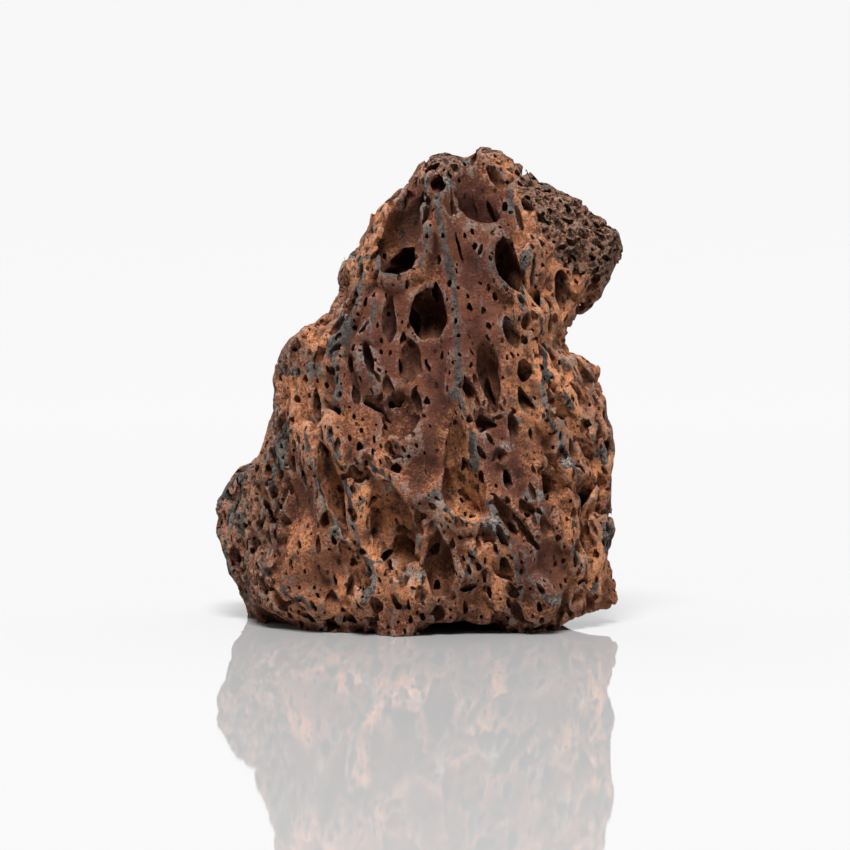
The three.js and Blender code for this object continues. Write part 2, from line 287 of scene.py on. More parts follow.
MOUTH_HOLLOWS = [
    (-12.4, 38.6, 6.4, 3.8, 2.2, 15),
    (-11.0, 32.5, 2.2, 2.8, 2.4, 10),
    (-6.0, 30.0, 16.0, 8.0, 2.4, 15),
    (-9.6, 26.6, 8.5, 4.4, 3.2, 12),
    (-4.2, 24.0, 4.2, 4.4, 3.8, 15),
    (-3.9, 20.6, 6.6, 8.0, 5.0, 15),
    (-7.2, 19.2, 3.2, 4.6, 4.4, 30),
    (-7.0, 15.9, 3.2, 3.8, 2.8, 25),
    (-21.8, 38.0, 21.0, 5.4, 3.4, 12),
    (-25.0, 46.2, 4.8, 2.3, 2.6, 12),
    (-19.0, 29.5, 2.0, 2.8, 2.8, 10),
    (-18.0, 32.0, 3.0, 1.2, 1.8, 10),
    (-23.8, 40.3, 1.6, 1.0, 1.4, 0),
    (-24.0, 28.8, 4.0, 1.8, 2.6, -3),
    (-21.0, 24.2, 3.2, 1.6, 2.4, 12),
    (-25.5, 22.6, 6.2, 1.4, 1.9, 8),
    (-29.0, 30.9, 3.4, 0.9, 1.4, 5),
    (-29.0, 34.0, 1.2, 0.7, 1.0, 0),
    (-16.0, 17.3, 3.2, 2.1, 2.2, 15),
    (-17.5, 12.2, 6.6, 2.4, 2.4, -5),
    (-21.2, 12.6, 4.6, 1.0, 1.8, 5),
    (-24.0, 12.4, 5.0, 3.2, 1.6, 15),
    (-22.0, 8.6, 4.4, 3.0, 2.0, 10),
    (-23.3, 7.6, 1.8, 1.1, 1.8, 0),
    (-29.5, 7.0, 6.0, 3.0, 2.4, 30),
    (-36.0, 2.6, 6.5, 13.0, 5.5, 0),
    (-34.7, 41.8, 5.4, 1.9, 2.6, -6),
    (-32.0, 42.5, 5.0, 2.0, 2.0, -3),
    (-32.0, 35.5, 2.0, 0.7, 1.0, 10),
    (-33.3, 25.9, 1.0, 0.9, 1.0, 0),
    (-32.2, 24.3, 1.2, 0.6, 1.0, 0),
    (-37.0, 28.5, 2.6, 2.6, 1.6, 0),
    (-34.0, 22.8, 3.6, 1.6, 1.4, 8),
    (-38.0, 38.0, 3.0, 2.0, 1.4, -20),
    (-36.4, 20.5, 3.0, 2.4, 1.4, 0),
]
HOLLOWS = (
    CROWN_HOLLOWS + BEAK_HOLLOWS + BROW_HOLLOWS + SHOULDER_HOLLOWS
    + WAIST_HOLLOWS + HIP_HOLLOWS + FOOT_HOLLOWS + MOUTH_HOLLOWS
)

# Grey ribs that stand between the hollows: a width, and the points that the rib passes through.
RIBS = {
    "backbone": (1.3, [
        (6.0, 112), (5.0, 108), (5.7, 104), (6.4, 100), (7.6, 95), (8.7, 90), (9.3, 85), (9.9, 80),
        (9.4, 75), (10.2, 70), (10.3, 65), (10.3, 61), (11.2, 58.5), (12.3, 54.5), (13.8, 50),
        (14.8, 46), (14.5, 42), (14.3, 38), (15.2, 35), (18.5, 32), (21.0, 27.5), (23.3, 21.5),
        (24.8, 17.5), (25.3, 14)]),
    "brow strut": (0.8, [(2.8, 102), (2.4, 98), (1.5, 94.5), (0.0, 91.5)]),
    "crown rib": (0.8, [(2.5, 114.5), (1.8, 111), (0.8, 107), (-1.0, 104.5), (-2.0, 101)]),
    "brow rim": (0.7, [(-6.7, 103), (-8.2, 99), (-9.8, 95)]),
    "brow lip": (0.9, [(-18.0, 95.2), (-14.0, 94.8), (-10.2, 94.8), (-9.6, 91.8), (-7.5, 90.5),
                       (-4.0, 90), (-0.6, 92)]),
    "temple": (1.2, [(-14.0, 94.5), (-14.0, 90), (-14.5, 86), (-16.0, 82), (-18.5, 78.5),
                     (-21.0, 73.5), (-21.0, 69), (-20.0, 64.5), (-19.4, 60)]),
    "cheekbone": (0.9, [(-10.8, 83.5), (-11.3, 79), (-12.0, 75.5)]),
    "tear": (0.8, [(-13.7, 70.5), (-12.5, 67.5), (-11.0, 64), (-10.2, 61)]),
    "left rib": (1.1, [(-22.5, 52.5), (-21.6, 49), (-19.6, 45), (-18.3, 41), (-17.2, 36),
                       (-16.5, 31), (-15.5, 26), (-14.5, 21.5), (-12.5, 17), (-12.0, 12), (-14.0, 8)]),
    "outer rib": (0.9, [(-28.0, 50), (-26.6, 44), (-25.2, 39), (-23.8, 35), (-22.8, 31),
                        (-21.5, 27.5), (-17.5, 22), (-13.5, 19.5)]),
    "flank rib": (1.3, [(-32.5, 53), (-34.2, 47.5), (-35.6, 42), (-36.5, 38), (-35.0, 33),
                        (-35.3, 27)]),
    "heel seam": (0.9, [(-38.5, 17), (-36.0, 14), (-33.0, 11), (-31.0, 8.5), (-28.5, 9.2),
                        (-26.0, 7)]),
    "socket rim": (0.7, [(19.8, 99.5), (18.4, 96), (18.6, 92.5), (20.2, 89.5), (22.6, 87)]),
    "beak rib": (1.0, [(28.5, 97), (26.6, 93.5), (26.1, 89.5), (26.4, 86), (26.2, 82)]),
    "right rib": (0.9, [(30.4, 80.5), (31.2, 76), (31.9, 72), (31.6, 67), (31.3, 62), (31.9, 57.5),
                        (33.6, 53.5), (35.6, 50), (36.2, 46.5), (38.5, 43), (40.8, 40.5)]),
    "shoulder rib": (0.8, [(33.0, 65.5), (36.0, 62.5), (38.0, 57.8), (40.5, 55), (42.5, 51.5),
                           (44.5, 48.5)]),
    "hip rib": (0.8, [(39.2, 30), (38.6, 25), (39.6, 20.5), (41.0, 17)]),
    "foot rib": (0.9, [(1.8, 20), (1.2, 16), (1.0, 12), (1.2, 9)]),
    "lip rib": (0.8, [(0.0, 33), (3.0, 34.5), (5.2, 36.3), (6.6, 33), (8.2, 30.2), (11.0, 28.7),
                      (14.2, 27.6)]),
    "toe rib": (1.0, [(14.5, 21.5), (13.4, 18), (11.8, 15)]),
    "mouth rib": (0.9, [(-12.5, 43), (-8.5, 40.4), (-6.0, 37), (-3.2, 33), (-0.8, 27), (0.6, 22)]),
    "slot rib": (0.8, [(19.0, 32.5), (21.5, 28.8), (24.0, 24.5), (26.6, 20), (27.4, 15), (31.0, 11),
                       (34.0, 8)]),
}

# The edge of the stone as it shows, clockwise from the left of its foot.
OUTLINE = [
    (-35, 0), (-39, 1.3), (-41.5, 3), (-43.5, 6), (-44.3, 12.5), (-46.5, 15.5), (-48, 22), (-50, 26),
    (-50.8, 30), (-49.5, 33.5), (-48, 34.5), (-46.5, 38.5), (-44, 41.5), (-38.5, 44.5), (-37, 49),
    (-35.8, 54), (-35.2, 60), (-35.6, 66), (-34.5, 70), (-32.5, 73), (-30, 74.5), (-28.2, 74),
    (-28, 76.5), (-25.5, 77), (-24.5, 75), (-23, 78.5), (-20.5, 83), (-19, 86), (-19.6, 88),
    (-18.8, 92), (-17.5, 94.5), (-14, 96.5), (-13, 99.5), (-10.5, 105), (-7, 108.5), (-4, 110.5),
    (-1.5, 113), (0, 115.3), (1.5, 117.5), (4, 119.8), (6, 120.4), (9, 119.6), (10.5, 118.3),
    (14.5, 119.8), (15.3, 121.5), (17, 121.6), (17.6, 120), (20, 120.6), (23, 120), (27, 117.8),
    (27.3, 115.5), (30, 114.8), (32, 114.5), (35, 111), (38, 109.4), (38.5, 108), (40, 108.2),
    (43, 105), (45.5, 104), (49, 100), (50.8, 97), (51, 94.5), (47.5, 90), (48, 87.5), (46, 85),
    (44, 83), (43, 80), (37.5, 75.2), (36.2, 73.5), (36.3, 71.5), (38, 70), (40, 70), (44.5, 67),
    (43.6, 64.5), (45, 61.5), (46, 58.5), (46.5, 54), (48, 50), (49.2, 46), (48, 40), (48, 35),
    (50, 26), (49.6, 16), (50.2, 8.5), (49, 5), (44, 2), (40, 0),
]

# Spurs that stand up along the edge: across, up of the tip, width, length, lean to the left.
SPURS = [
    (-28.2, 77.0, 1.6, 5.0, 5), (-25.6, 77.2, 1.5, 5.0, -5),
    (-17.6, 95.2, 2.2, 4.0, 30), (-10.9, 105.4, 1.8, 4.0, 30), (-7.2, 108.6, 2.0, 4.0, 30),
    (-1.8, 113.2, 1.8, 4.0, 35), (1.2, 117.6, 1.8, 4.0, 35), (4.4, 119.6, 1.8, 4.0, 10),
    (8.0, 119.4, 1.6, 3.5, -10), (15.6, 121.5, 1.5, 4.5, 15), (16.9, 121.7, 1.3, 4.5, -5),
    (20.5, 120.6, 2.6, 5.0, -10),
    (37.8, 109.8, 2.0, 4.5, -35), (40.2, 108.4, 2.0, 4.5, -35), (45.6, 104.2, 2.4, 5.0, -40),
    (49.0, 100.4, 2.0, 4.5, -50), (44.4, 67.0, 2.2, 5.0, -60), (45.2, 61.4, 1.6, 4.0, -80),
    (46.2, 58.5, 1.6, 4.0, -80), (47.8, 50.5, 2.0, 4.0, -80),
]

# Patches of the face: across, up, half width, half height.
GREY_PATCHES = [
    (-18.0, 77.0, 2.6, 5.0), (-21.5, 72.0, 2.0, 3.0), (-25.7, 67.0, 2.4, 3.2), (-12.5, 14.0, 2.6, 6.0),
    (-21.0, 26.5, 1.6, 3.0), (9.0, 60.5, 1.6, 1.6), (7.8, 113.5, 1.2, 2.0), (27.0, 94.0, 1.6, 3.0),
    (32.2, 65.5, 1.2, 2.5), (30.5, 29.5, 3.0, 3.0), (29.0, 35.0, 3.5, 1.8), (18.0, 26.0, 3.6, 3.4),
    (37.5, 44.0, 2.5, 2.5), (43.0, 12.5, 3.0, 2.0), (13.5, 46.0, 1.2, 4.0), (-34.0, 47.0, 1.8, 6.0),
    (12.5, 118.5, 2.0, 0.9), (16.0, 114.0, 1.2, 0.9), (23.3, 108.0, 1.2, 4.0), (-32.0, 66.0, 3.0, 1.2),
    (33.5, 9.0, 3.0, 1.5), (5.0, 25.0, 2.4, 2.0), (47.5, 24.0, 1.6, 5.0), (46.0, 45.0, 2.0, 3.0),
]
PALE_PATCHES = [
    (18.3, 28.0, 2.6, 3.0), (37.5, 43.5, 2.4, 1.8), (-3.5, 44.5, 2.5, 1.6), (5.3, 31.0, 2.0, 5.0),
    (34.5, 8.5, 2.5, 1.5), (21.5, 78.5, 2.2, 2.4), (-1.5, 14.5, 4.0, 2.2), (-7.5, 37.0, 2.0, 1.6),
    (22.0, 47.5, 2.5, 1.4), (-18.0, 94.0, 3.0, 1.6),
]
SKIN_PATCHES = [
    (13.0, 98.0, 10.0, 22.0), (14.5, 76.0, 8.0, 14.0), (2.0, 92.0, 7.0, 14.0), (-4.0, 82.0, 13.0, 11.0),
    (-12.0, 70.0, 9.0, 12.0), (4.0, 66.0, 8.0, 14.0), (5.0, 48.0, 8.0, 10.0), (-30.0, 27.0, 6.5, 13.0),
    (20.0, 44.0, 5.0, 12.0), (32.0, 17.0, 6.5, 8.0), (-2.0, 104.0, 6.0, 8.0), (0.0, 38.0, 6.0, 6.0),
    (8.0, 24.0, 5.0, 5.0), (-26.0, 17.0, 7.0, 6.0),
]
OCHRE_PATCHES = [
    (36.0, 66.0, 12.0, 18.0), (34.0, 86.0, 9.0, 8.0), (-27.0, 64.0, 7.0, 12.0), (-9.0, 28.0, 8.0, 16.0),
    (10.0, 35.0, 8.0, 9.0), (42.0, 44.0, 7.0, 16.0), (-21.5, 38.0, 4.0, 12.0), (43.0, 20.0, 5.0, 10.0),
    (-2.0, 13.0, 7.0, 4.0), (18.0, 17.0, 5.0, 6.0), (-10.0, 103.0, 4.0, 9.0), (21.0, 116.0, 4.0, 4.0),
    (-15.0, 92.0, 5.0, 4.0), (-24.0, 11.0, 10.0, 6.0), (10.0, 47.0, 5.0, 8.0), (-38.0, 36.0, 5.0, 16.0),
    (2.0, 89.0, 4.0, 6.0), (27.0, 110.0, 3.0, 7.0), (-29.0, 21.0, 5.0, 9.0),
]
# Painted shade: the crown that tilts back, the cave under the brow and the underside of the foot are
# darkened towards dark mauve.
SHADE_PATCHES = [(12.0, 106.0, 14.0, 16.0), (4.0, 82.0, 8.0, 9.0), (12.0, 10.0, 24.0, 10.0)]
CRUST_PATCHES = [
    (6.5, 118.5, 5.0, 3.5), (34.5, 112.0, 9.5, 8.5), (43.5, 100.0, 10.5, 11.0), (38.0, 104.0, 9.0, 8.0),
]
POROUS_PATCHES = [(-38.0, 44.0, 6.5, 28.0), (-44.0, 25.0, 9.0, 24.0), (-31.0, 70.0, 6.0, 6.0)]


class LavaRockSettings(bpy.types.PropertyGroup):
    """Sizes and colours of the stone."""

    pitch: FloatProperty(
        name="Sculpting Pitch", description="Distance between the points of the sculpted field",
        default=0.36 * MM, min=0.2 * MM, subtype="DISTANCE", unit="LENGTH")
    triangles: IntProperty(
        name="Triangles", description="Number of triangles in the finished stone",
        default=196000, min=1000)
    swelling: FloatProperty(
        name="Swelling", description="How far the stone is swollen before the bubbles eat into it",
        default=1.0 * MM, subtype="DISTANCE", unit="LENGTH")
    rib_height: FloatProperty(
        name="Rib Height", description="How far the ribs stand out of the flutes beside them",
        default=3.0 * MM, subtype="DISTANCE", unit="LENGTH")
    bubbles: FloatProperty(
        name="Bubbles", description="Share of the small bubbles that is made",
        default=1.0, min=0.0, max=1.0, subtype="FACTOR")
    mauve: FloatVectorProperty(
        name="Mauve", description="Smooth skin of the torn face", subtype="COLOR",
        default=linear("583226"))
    # Dark mauve is the skin's own darker clouds, and also painted shade on the shade patches.
    mauve_dark: FloatVectorProperty(
        name="Dark Mauve", description="Darker cloud in the skin", subtype="COLOR",
        default=linear("4a271d"))
    ochre: FloatVectorProperty(
        name="Ochre", description="Weathered froth between the bubbles", subtype="COLOR",
        default=linear("c48258"))
    brown: FloatVectorProperty(
        name="Brown", description="Darker cloud in the ochre, and the walls of the bubbles",
        subtype="COLOR", default=linear("734630"))
    grey: FloatVectorProperty(
        name="Grey", description="Ribs and patches of unweathered lava", subtype="COLOR",
        default=linear("2d2c2b"))
    # Pale is ash, and rims lightened by wear; on the crests it is partly a painted highlight.
    pale: FloatVectorProperty(
        name="Pale", description="Worn rims and ash", subtype="COLOR",
        default=linear("9a8f86"))
    crust: FloatVectorProperty(
        name="Crust", description="Fine dark froth on the beak", subtype="COLOR",
        default=linear("4e3d36"))
    # This colour is painted shade: it darkens the depths of the hollows, the front of the foot, mouths of
    # bubbles too small to sculpt and the dips in the crust's grain.
    pore_shade: FloatVectorProperty(
        name="Pore", description="Depths of the bubbles", subtype="COLOR",
        default=linear("20120c"))


class StudioSettings(bpy.types.PropertyGroup):
    """Sizes and colours of the studio."""

    floor_size: FloatProperty(
        name="Floor Size", description="Side of the floor", default=40.0, subtype="DISTANCE",
        unit="LENGTH")
    floor_colour: FloatVectorProperty(
        name="Floor", description="Colour of the floor", subtype="COLOR", default=(0.45, 0.45, 0.45))


# ---- the studio ----

FLOOR_ROUGHNESS = 0.03
FLOOR_IOR = 1.55
FLOOR_FADE = (1.2, 5.0)  # m from the stone, between which the floor passes into the backdrop
BACKDROP_EDGE = (-0.6, 0.7)  # how far a direction points backwards where the backdrop begins and is full
BACKDROP_LIGHT = 0.935
ROOM_LIGHT = 0.2
SUN_LIGHT = 5.7
SUN_WIDTH = math.radians(24)
SUN_FALL = (0.04, 0.5, -1.0)  # the way its light falls


# ---- the field of distances ----


def points_of(mesh):
    """The places of a mesh's vertices, one in each row."""
    points = np.empty(len(mesh.vertices) * 3, np.float32)
    mesh.vertices.foreach_get("co", points)
    return points.reshape(-1, 3)


class Field:
    """Distances to the surface of the stone, in mm and negative inside it, on a grid of points.

    large and small hold the distances to the large and the small bubbles cut so far.
    """

    def __init__(self, mesh, pitch, reach):
        mesh.calc_loop_triangles()
        triangles = np.empty(len(mesh.loop_triangles) * 3, np.int32)
        mesh.loop_triangles.foreach_get("vertices", triangles)
        self.pitch = pitch
        self.reach = reach
        self.transform = openvdb.createLinearTransform(voxelSize=pitch)
        grid = openvdb.FloatGrid.createLevelSetFromPolygons(
            points_of(mesh) / MM, triangles=triangles.reshape(-1, 3),
            transform=self.transform, halfWidth=reach / pitch)
        low, high = grid.evalActiveVoxelBoundingBox()
        self.low = np.array(low)
        shape = np.array(high) - self.low + 1
        self.stone = np.full(shape, reach, np.float32)
        grid.copyToArray(self.stone, ijk=low)
        self.large = np.full(shape, reach, np.float32)
        self.small = np.full(shape, reach, np.float32)

    def axes(self, low=(0, 0, 0), high=None):
        """The x, y and z of a box of the grid's points, shaped so that they broadcast."""
        high = self.stone.shape if high is None else high
        lines = [(self.low[i] + np.arange(low[i], high[i])) * self.pitch for i in range(3)]
        return np.ix_(*[line.astype(np.float32) for line in lines])

    def sample(self, values, points):
        """Values of a grid at any points, blended from the eight grid points around each."""
        places = np.clip(points / self.pitch - self.low, 0, np.array(values.shape) - 1.001)
        base = places.astype(np.int32)
        share = (places - base).astype(np.float32)
        total = np.zeros(len(points), np.float32)
        for corner in np.ndindex(2, 2, 2):
            weight = np.prod(np.where(corner, share, 1 - share), axis=1)
            i, j, k = (base + corner).T
            total += weight * values[i, j, k]
        return total

    def slope(self, points):
        """The unit vector out of the stone at any points."""
        step = 1.5 * self.pitch
        slopes = np.stack([
            self.sample(self.stone, points + step * axis) - self.sample(self.stone, points - step * axis)
            for axis in np.eye(3)], axis=1)
        return slopes / np.maximum(np.linalg.norm(slopes, axis=1, keepdims=True), 1e-6)

    def near(self, distance):
        """Indices of the grid's points within a distance of the surface, and where they are."""
        index = np.nonzero(np.abs(self.stone) < distance)
        places = np.stack(index, axis=1) + self.low
        return index, (places * self.pitch).astype(np.float32)

    def polygons(self):
        """Points and four-sided faces of the surface."""
        grid = openvdb.FloatGrid()
        grid.transform = self.transform
        edge = 3 * self.pitch
        grid.background = edge
        low = tuple(int(i) for i in self.low)
        grid.copyFromArray(np.clip(self.stone, -edge, edge), ijk=low, tolerance=0)
        points, _, quads = grid.convertToPolygons(isovalue=0.0, adaptivity=0.0)
        return points, quads


class Noise:
    """Smooth noise from -1 to 1 at any points, from a block of seeded random numbers."""

    CELLS = 48

    def __init__(self, use):
        random = np.random.default_rng(SEED + NOISES.index(use))
        self.block = random.uniform(-1, 1, (self.CELLS,) * 3).astype(np.float32)

    def __call__(self, points):
        base = np.floor(points).astype(np.int32)
        share = points - base
        share = share * share * (3 - 2 * share)
        total = np.zeros(len(points), np.float32)
        for corner in np.ndindex(2, 2, 2):
            weight = np.prod(np.where(corner, share, 1 - share), axis=1)
            i, j, k = ((base + corner) % self.CELLS).T
            total += weight * self.block[i, j, k]
        return total


class Cells:
    """Distance from any points to the nearest of many seeded centres, one in each unit cube."""

    CELLS = 32

    def __init__(self, use):
        random = np.random.default_rng(SEED + NOISES.index(use))
        self.shift = random.random((self.CELLS,) * 3 + (3,)).astype(np.float32)

    def __call__(self, points):
        points = points.astype(np.float32)
        base = np.floor(points).astype(np.int32)
        nearest = np.full(len(points), 9, np.float32)
        for step in np.ndindex(3, 3, 3):
            corner = base + np.array(step, np.int32) - 1
            i, j, k = (corner % self.CELLS).T
            away = corner + self.shift[i, j, k] - points
            nearest = np.minimum(nearest, np.einsum("ij,ij->i", away, away))
        return np.sqrt(nearest)


def soft_step(values, start, end):
    """0 before start, 1 after end, and an S-curve between them."""
    share = np.clip((values - start) / (end - start), 0, 1)
    return share * share * (3 - 2 * share)


def blurred(values, radius):
    """An array blurred by three box averages along each of its axes."""
    for axis in range(values.ndim):
        for _ in range(3):
            padded = np.pad(
                values, [(radius + 1, radius) if a == axis else (0, 0) for a in range(values.ndim)],
                mode="edge")
            total = np.cumsum(padded, axis=axis, dtype=np.float32)
            length = values.shape[axis]
            upper = np.take(total, range(2 * radius + 1, 2 * radius + 1 + length), axis=axis)
            lower = np.take(total, range(length), axis=axis)
            values = (upper - lower) / (2 * radius + 1)
    return values


def spread(values, radius, highest):
    """The highest, or lowest, value within a square of the given radius around each point."""
    pick = np.maximum if highest else np.minimum
    for axis in (0, 1):
        result = values.copy()
        for shift in range(-radius, radius + 1):
            result = pick(result, np.roll(values, shift, axis=axis))
        values = result
    return values


# ---- the torn face ----


def shown(points):
    """Where points show from the viewpoint, as (across, up)."""
    away = np.array([0.0, math.cos(LOOK_DOWN), -math.sin(LOOK_DOWN)])
    upward = np.array([0.0, math.sin(LOOK_DOWN), math.cos(LOOK_DOWN)])
    offset = points - AIM
    scale = DISTANCE / (DISTANCE + offset @ away)
    return AIM_SHOWS[0] + offset[:, 0] * scale, AIM_SHOWS[1] + (offset @ upward) * scale


class Face:
    """How far back the front of the stone lies, as if its hollows were filled."""

    FILL = 6.0  # mm, half the width of the hollows that are filled
    SMOOTH = 1.6  # mm

    def __init__(self, field):
        self.field = field
        inside = field.stone < 0
        y = (field.low[1] + np.arange(field.stone.shape[1])) * field.pitch
        depth = np.where(inside.any(axis=1), y[inside.argmax(axis=1)], 0.0).astype(np.float32)
        outside = ~inside.any(axis=1)
        radius = int(self.FILL / field.pitch)
        depth[outside] = FAR
        filled = spread(depth, radius, highest=False)
        filled[filled > 100] = -100
        filled = spread(filled, radius, highest=True)
        filled[outside] = np.maximum(filled[outside], 0)
        filled = np.clip(filled, y[0], 10)
        self.depth = blurred(filled, int(self.SMOOTH / field.pitch))

    def at(self, x, z):
        """The face's y at places (x, z)."""
        i = np.rint(x / self.field.pitch).astype(int) - self.field.low[0]
        k = np.rint(z / self.field.pitch).astype(int) - self.field.low[2]
        width, height = self.depth.shape
        return self.depth[np.clip(i, 0, width - 1), np.clip(k, 0, height - 1)]

    def point(self, across, up):
        """The point of the face that shows at a place."""
        x, z = across, up
        for _ in range(6):
            y = self.at(np.array([x]), np.array([z]))[0]
            shown_x, shown_z = shown(np.array([[x, y, z]]))
            x += across - shown_x[0]
            z += up - shown_z[0]
        return np.array([x, y, z])

    def outward(self, point):
        """The unit vector out of the face at a point, averaged over a few millimetres."""
        x, _, z = point
        step = 3.0
        across = self.at(np.array([x + step, x - step]), np.array([z, z]))
        up = self.at(np.array([x, x]), np.array([z + step, z - step]))
        slope_x = np.clip((across[0] - across[1]) / (2 * step), -0.9, 0.9)
        slope_z = np.clip((up[0] - up[1]) / (2 * step), -0.5, 0.5)
        normal = np.array([slope_x, -1.0, slope_z])
        return normal / np.linalg.norm(normal)


def flow_axes(outward, lean, dive):
    """Along, across and deep axes of a bubble that hangs down the surface and dives into it."""
    level = np.cross([0.0, 0.0, 1.0], outward)
    level /= max(np.linalg.norm(level), 1e-6)
    rising = np.cross(outward, level)
    down = math.sin(lean) * level - math.cos(lean) * rising
    along = math.cos(dive) * down - math.sin(dive) * outward
    across = np.cross(along, outward)
    across /= max(np.linalg.norm(across), 1e-6)
    return along, across, np.cross(along, across)


LIP_WIDTH = 0.7  # mm
CARVED_BEYOND = 2.4  # mm around a bubble in which the stone and the distances are brought up to date


def carve(field, layer, centre, axes, radii, taper, rim, lip=0.0, ragged=0.0):
    """Cuts a drop-shaped bubble out of the stone.

    taper widens its lower end, rim rounds its edge, lip raises the stone around it, and ragged makes
    its outline uneven. Its distances are added to the layer.
    """
    reach = max(radii) * (1 + taper) + CARVED_BEYOND
    places = centre / field.pitch - field.low
    low = np.maximum(np.floor(places - reach / field.pitch).astype(int), 0)
    high = np.minimum(np.ceil(places + reach / field.pitch).astype(int) + 1, field.stone.shape)
    if (high <= low).any():
        return
    box = tuple(slice(a, b) for a, b in zip(low, high))
    x, y, z = field.axes(low, high)
    x, y, z = x - np.float32(centre[0]), y - np.float32(centre[1]), z - np.float32(centre[2])
    length, width, depth = radii
    along, across, deep = [
        x * np.float32(a[0]) + y * np.float32(a[1]) + z * np.float32(a[2]) for a in axes]
    swell = 1 + taper * np.clip(along / length, -1, 1)
    a, b, c = along / length, across / (width * swell), deep / depth
    size = np.sqrt(a * a + b * b + c * c)
    if ragged:
        turn = np.arctan2(b, a)
        phase = 7.3 * centre[0] + 3.1 * centre[2]
        wave = np.sin(2 * turn + phase) + 0.8 * np.sin(3 * turn - 2 * phase)
        wave = wave + 0.6 * np.sin(7 * turn + 3 * phase)
        size = size * (1 + ragged * wave * np.minimum(a * a + b * b, 1))
    slope = np.sqrt((a / length) ** 2 + (b / width) ** 2 + (c / depth) ** 2)
    wall = size * (size - 1) / np.maximum(slope, 1e-6)
    stone = field.stone[box]
    if lip:
        stone = stone - lip * np.exp(-(wall / LIP_WIDTH) ** 2)
    gap = stone + wall
    field.stone[box] = 0.5 * (stone - wall + np.sqrt(gap * gap + rim * rim))
    layer[box] = np.minimum(layer[box], wall)


DEEPENING = 1.55  # the ribs and the swelling lift the face out of which the hollows are cut
NESTED = 2.2  # mm behind the filled face beyond which a hollow counts as one inside another
SUNKEN = 6.0  # mm, the most that a nested hollow is moved back for
WIDE = 2.0  # mm, the width above which a hollow keeps large bubbles off, but lets small ones in


def carve_hollow(field, face, hollow):
    """Cuts one hollow of the torn face: tight ones dive into the stone, and wide ones have soft edges."""
    across, up, length, width, depth, lean = hollow
    tightness = min(max(DEEPENING * depth / width - 0.3, 0.0), 1.0)
    depth *= DEEPENING * (1 + 0.35 * tightness)
    point = face.point(across, up)
    outward = face.outward(point)
    i, _, k = np.rint(point / field.pitch - field.low).astype(int)
    inside = field.stone[i, :, k] < 0
    if inside.any():
        surface = (field.low[1] + inside.argmax()) * field.pitch
        point[1] += 0.6 * min(max(surface - point[1] - NESTED, 0.0), SUNKEN)
    dive = math.radians(3 + 27 * tightness)
    inset = 0.15 * tightness * depth
    axes = flow_axes(outward, math.radians(lean), dive)
    if length > 5:
        point = point - 0.1 * length * axes[0]
        length *= 1.2
        depth *= 0.9
    radii = (length / 2, width / 2, depth - inset)
    layer = field.large if width > WIDE else field.small
    rim = 0.05 + 0.9 * (1 - tightness) ** 2
    carve(field, layer, point - outward * inset, axes, radii, taper=0.42, rim=rim, ragged=0.09)


FAR = 1e3  # mm


def distance_to_line(x, z, points):
    """Distance from places (across, up) to a line that joins points."""
    nearest = np.full(x.shape, FAR)
    for (ax, az), (bx, bz) in zip(points, points[1:]):
        run, rise = bx - ax, bz - az
        share = np.clip(((x - ax) * run + (z - az) * rise) / (run * run + rise * rise), 0, 1)
        nearest = np.minimum(nearest, np.hypot(x - ax - share * run, z - az - share * rise))
    return nearest


def distance_to_ribs(x, z):
    """Distance from places (across, up) to the edge of the nearest rib, and below zero on the rib."""
    return np.min([distance_to_line(x, z, points) - width / 2 for width, points in RIBS.values()], axis=0)


class EdgeMap:
    """How far places (across, up) are outside the outline, and below zero inside it."""

    STEP = 0.5  # mm

    def __init__(self, low, high):
        self.low = low
        lines = [np.arange(a, b, self.STEP) for a, b in zip(low, high)]
        x, z = np.meshgrid(*lines, indexing="ij")
        ring = OUTLINE + OUTLINE[:1]
        nearest = distance_to_line(x, z, ring)
        inside = np.zeros(x.shape, bool)
        for (ax, az), (bx, bz) in zip(ring, ring[1:]):
            if bz != az:
                crossing = ax + (bx - ax) * (z - az) / (bz - az)
                inside ^= ((z >= az) != (z >= bz)) & (x < crossing)
        self.table = np.where(inside, -nearest, nearest)

    def __call__(self, across, up):
        """The distance at any places, blended from the four nearest points of the table."""
        i, k = (across - self.low[0]) / self.STEP, (up - self.low[1]) / self.STEP
        i0 = np.clip(i.astype(int), 0, self.table.shape[0] - 2)
        k0 = np.clip(k.astype(int), 0, self.table.shape[1] - 2)
        left = self.table[i0, k0] * (1 - k + k0) + self.table[i0, k0 + 1] * (k - k0)
        right = self.table[i0 + 1, k0] * (1 - k + k0) + self.table[i0 + 1, k0 + 1] * (k - k0)
        return left * (1 - i + i0) + right * (i - i0)


beyond_edge = EdgeMap((-62, -8), (62, 132))


def patch(patches, x, z):
    """How far places (across, up) are in the patches: 1 at a middle, 0 at an edge, negative outside."""
    best = np.full(x.shape, -10.0, np.float32)
    for across, up, half_width, half_height in patches:
        size = np.hypot((x - across) / half_width, (z - up) / half_height)
        best = np.maximum(best, 1 - size)
    return best


# ---- the steps of the sculpting ----

FLUTE = 4.2  # mm from a rib to the full depth of the flute beside it
CREST = 0.35  # mm, how far a rib stands out of the face
FLUTES_FADE = (6.0, 16.0)  # mm behind the face, between which the flutes fade out


def raise_ribs(field, face, rib_height):
    """Presses the face in between the ribs, so that flutes run down the stone between them."""
    x, y, z = field.axes()
    grid_x, grid_z = np.meshgrid(x.ravel(), z.ravel(), indexing="ij")
    flat = np.stack([grid_x.ravel(), face.depth.ravel(), grid_z.ravel()], axis=1)
    across, up = shown(flat)
    away = distance_to_ribs(across, up).reshape(grid_x.shape)
    press = rib_height * soft_step(away, 0.0, FLUTE) - CREST * (1 - soft_step(away, -0.5, 0.5))
    behind = y - face.depth[:, None, :]
    fade = 1 - soft_step(behind, *FLUTES_FADE)
    forwards = np.clip(-np.gradient(field.stone, field.pitch, axis=1), 0, 1)
    foot = 0.3 + 0.7 * soft_step(z, 1.0, 9.0)
    field.stone += (press[:, None, :] * fade * forwards * foot).astype(np.float32)


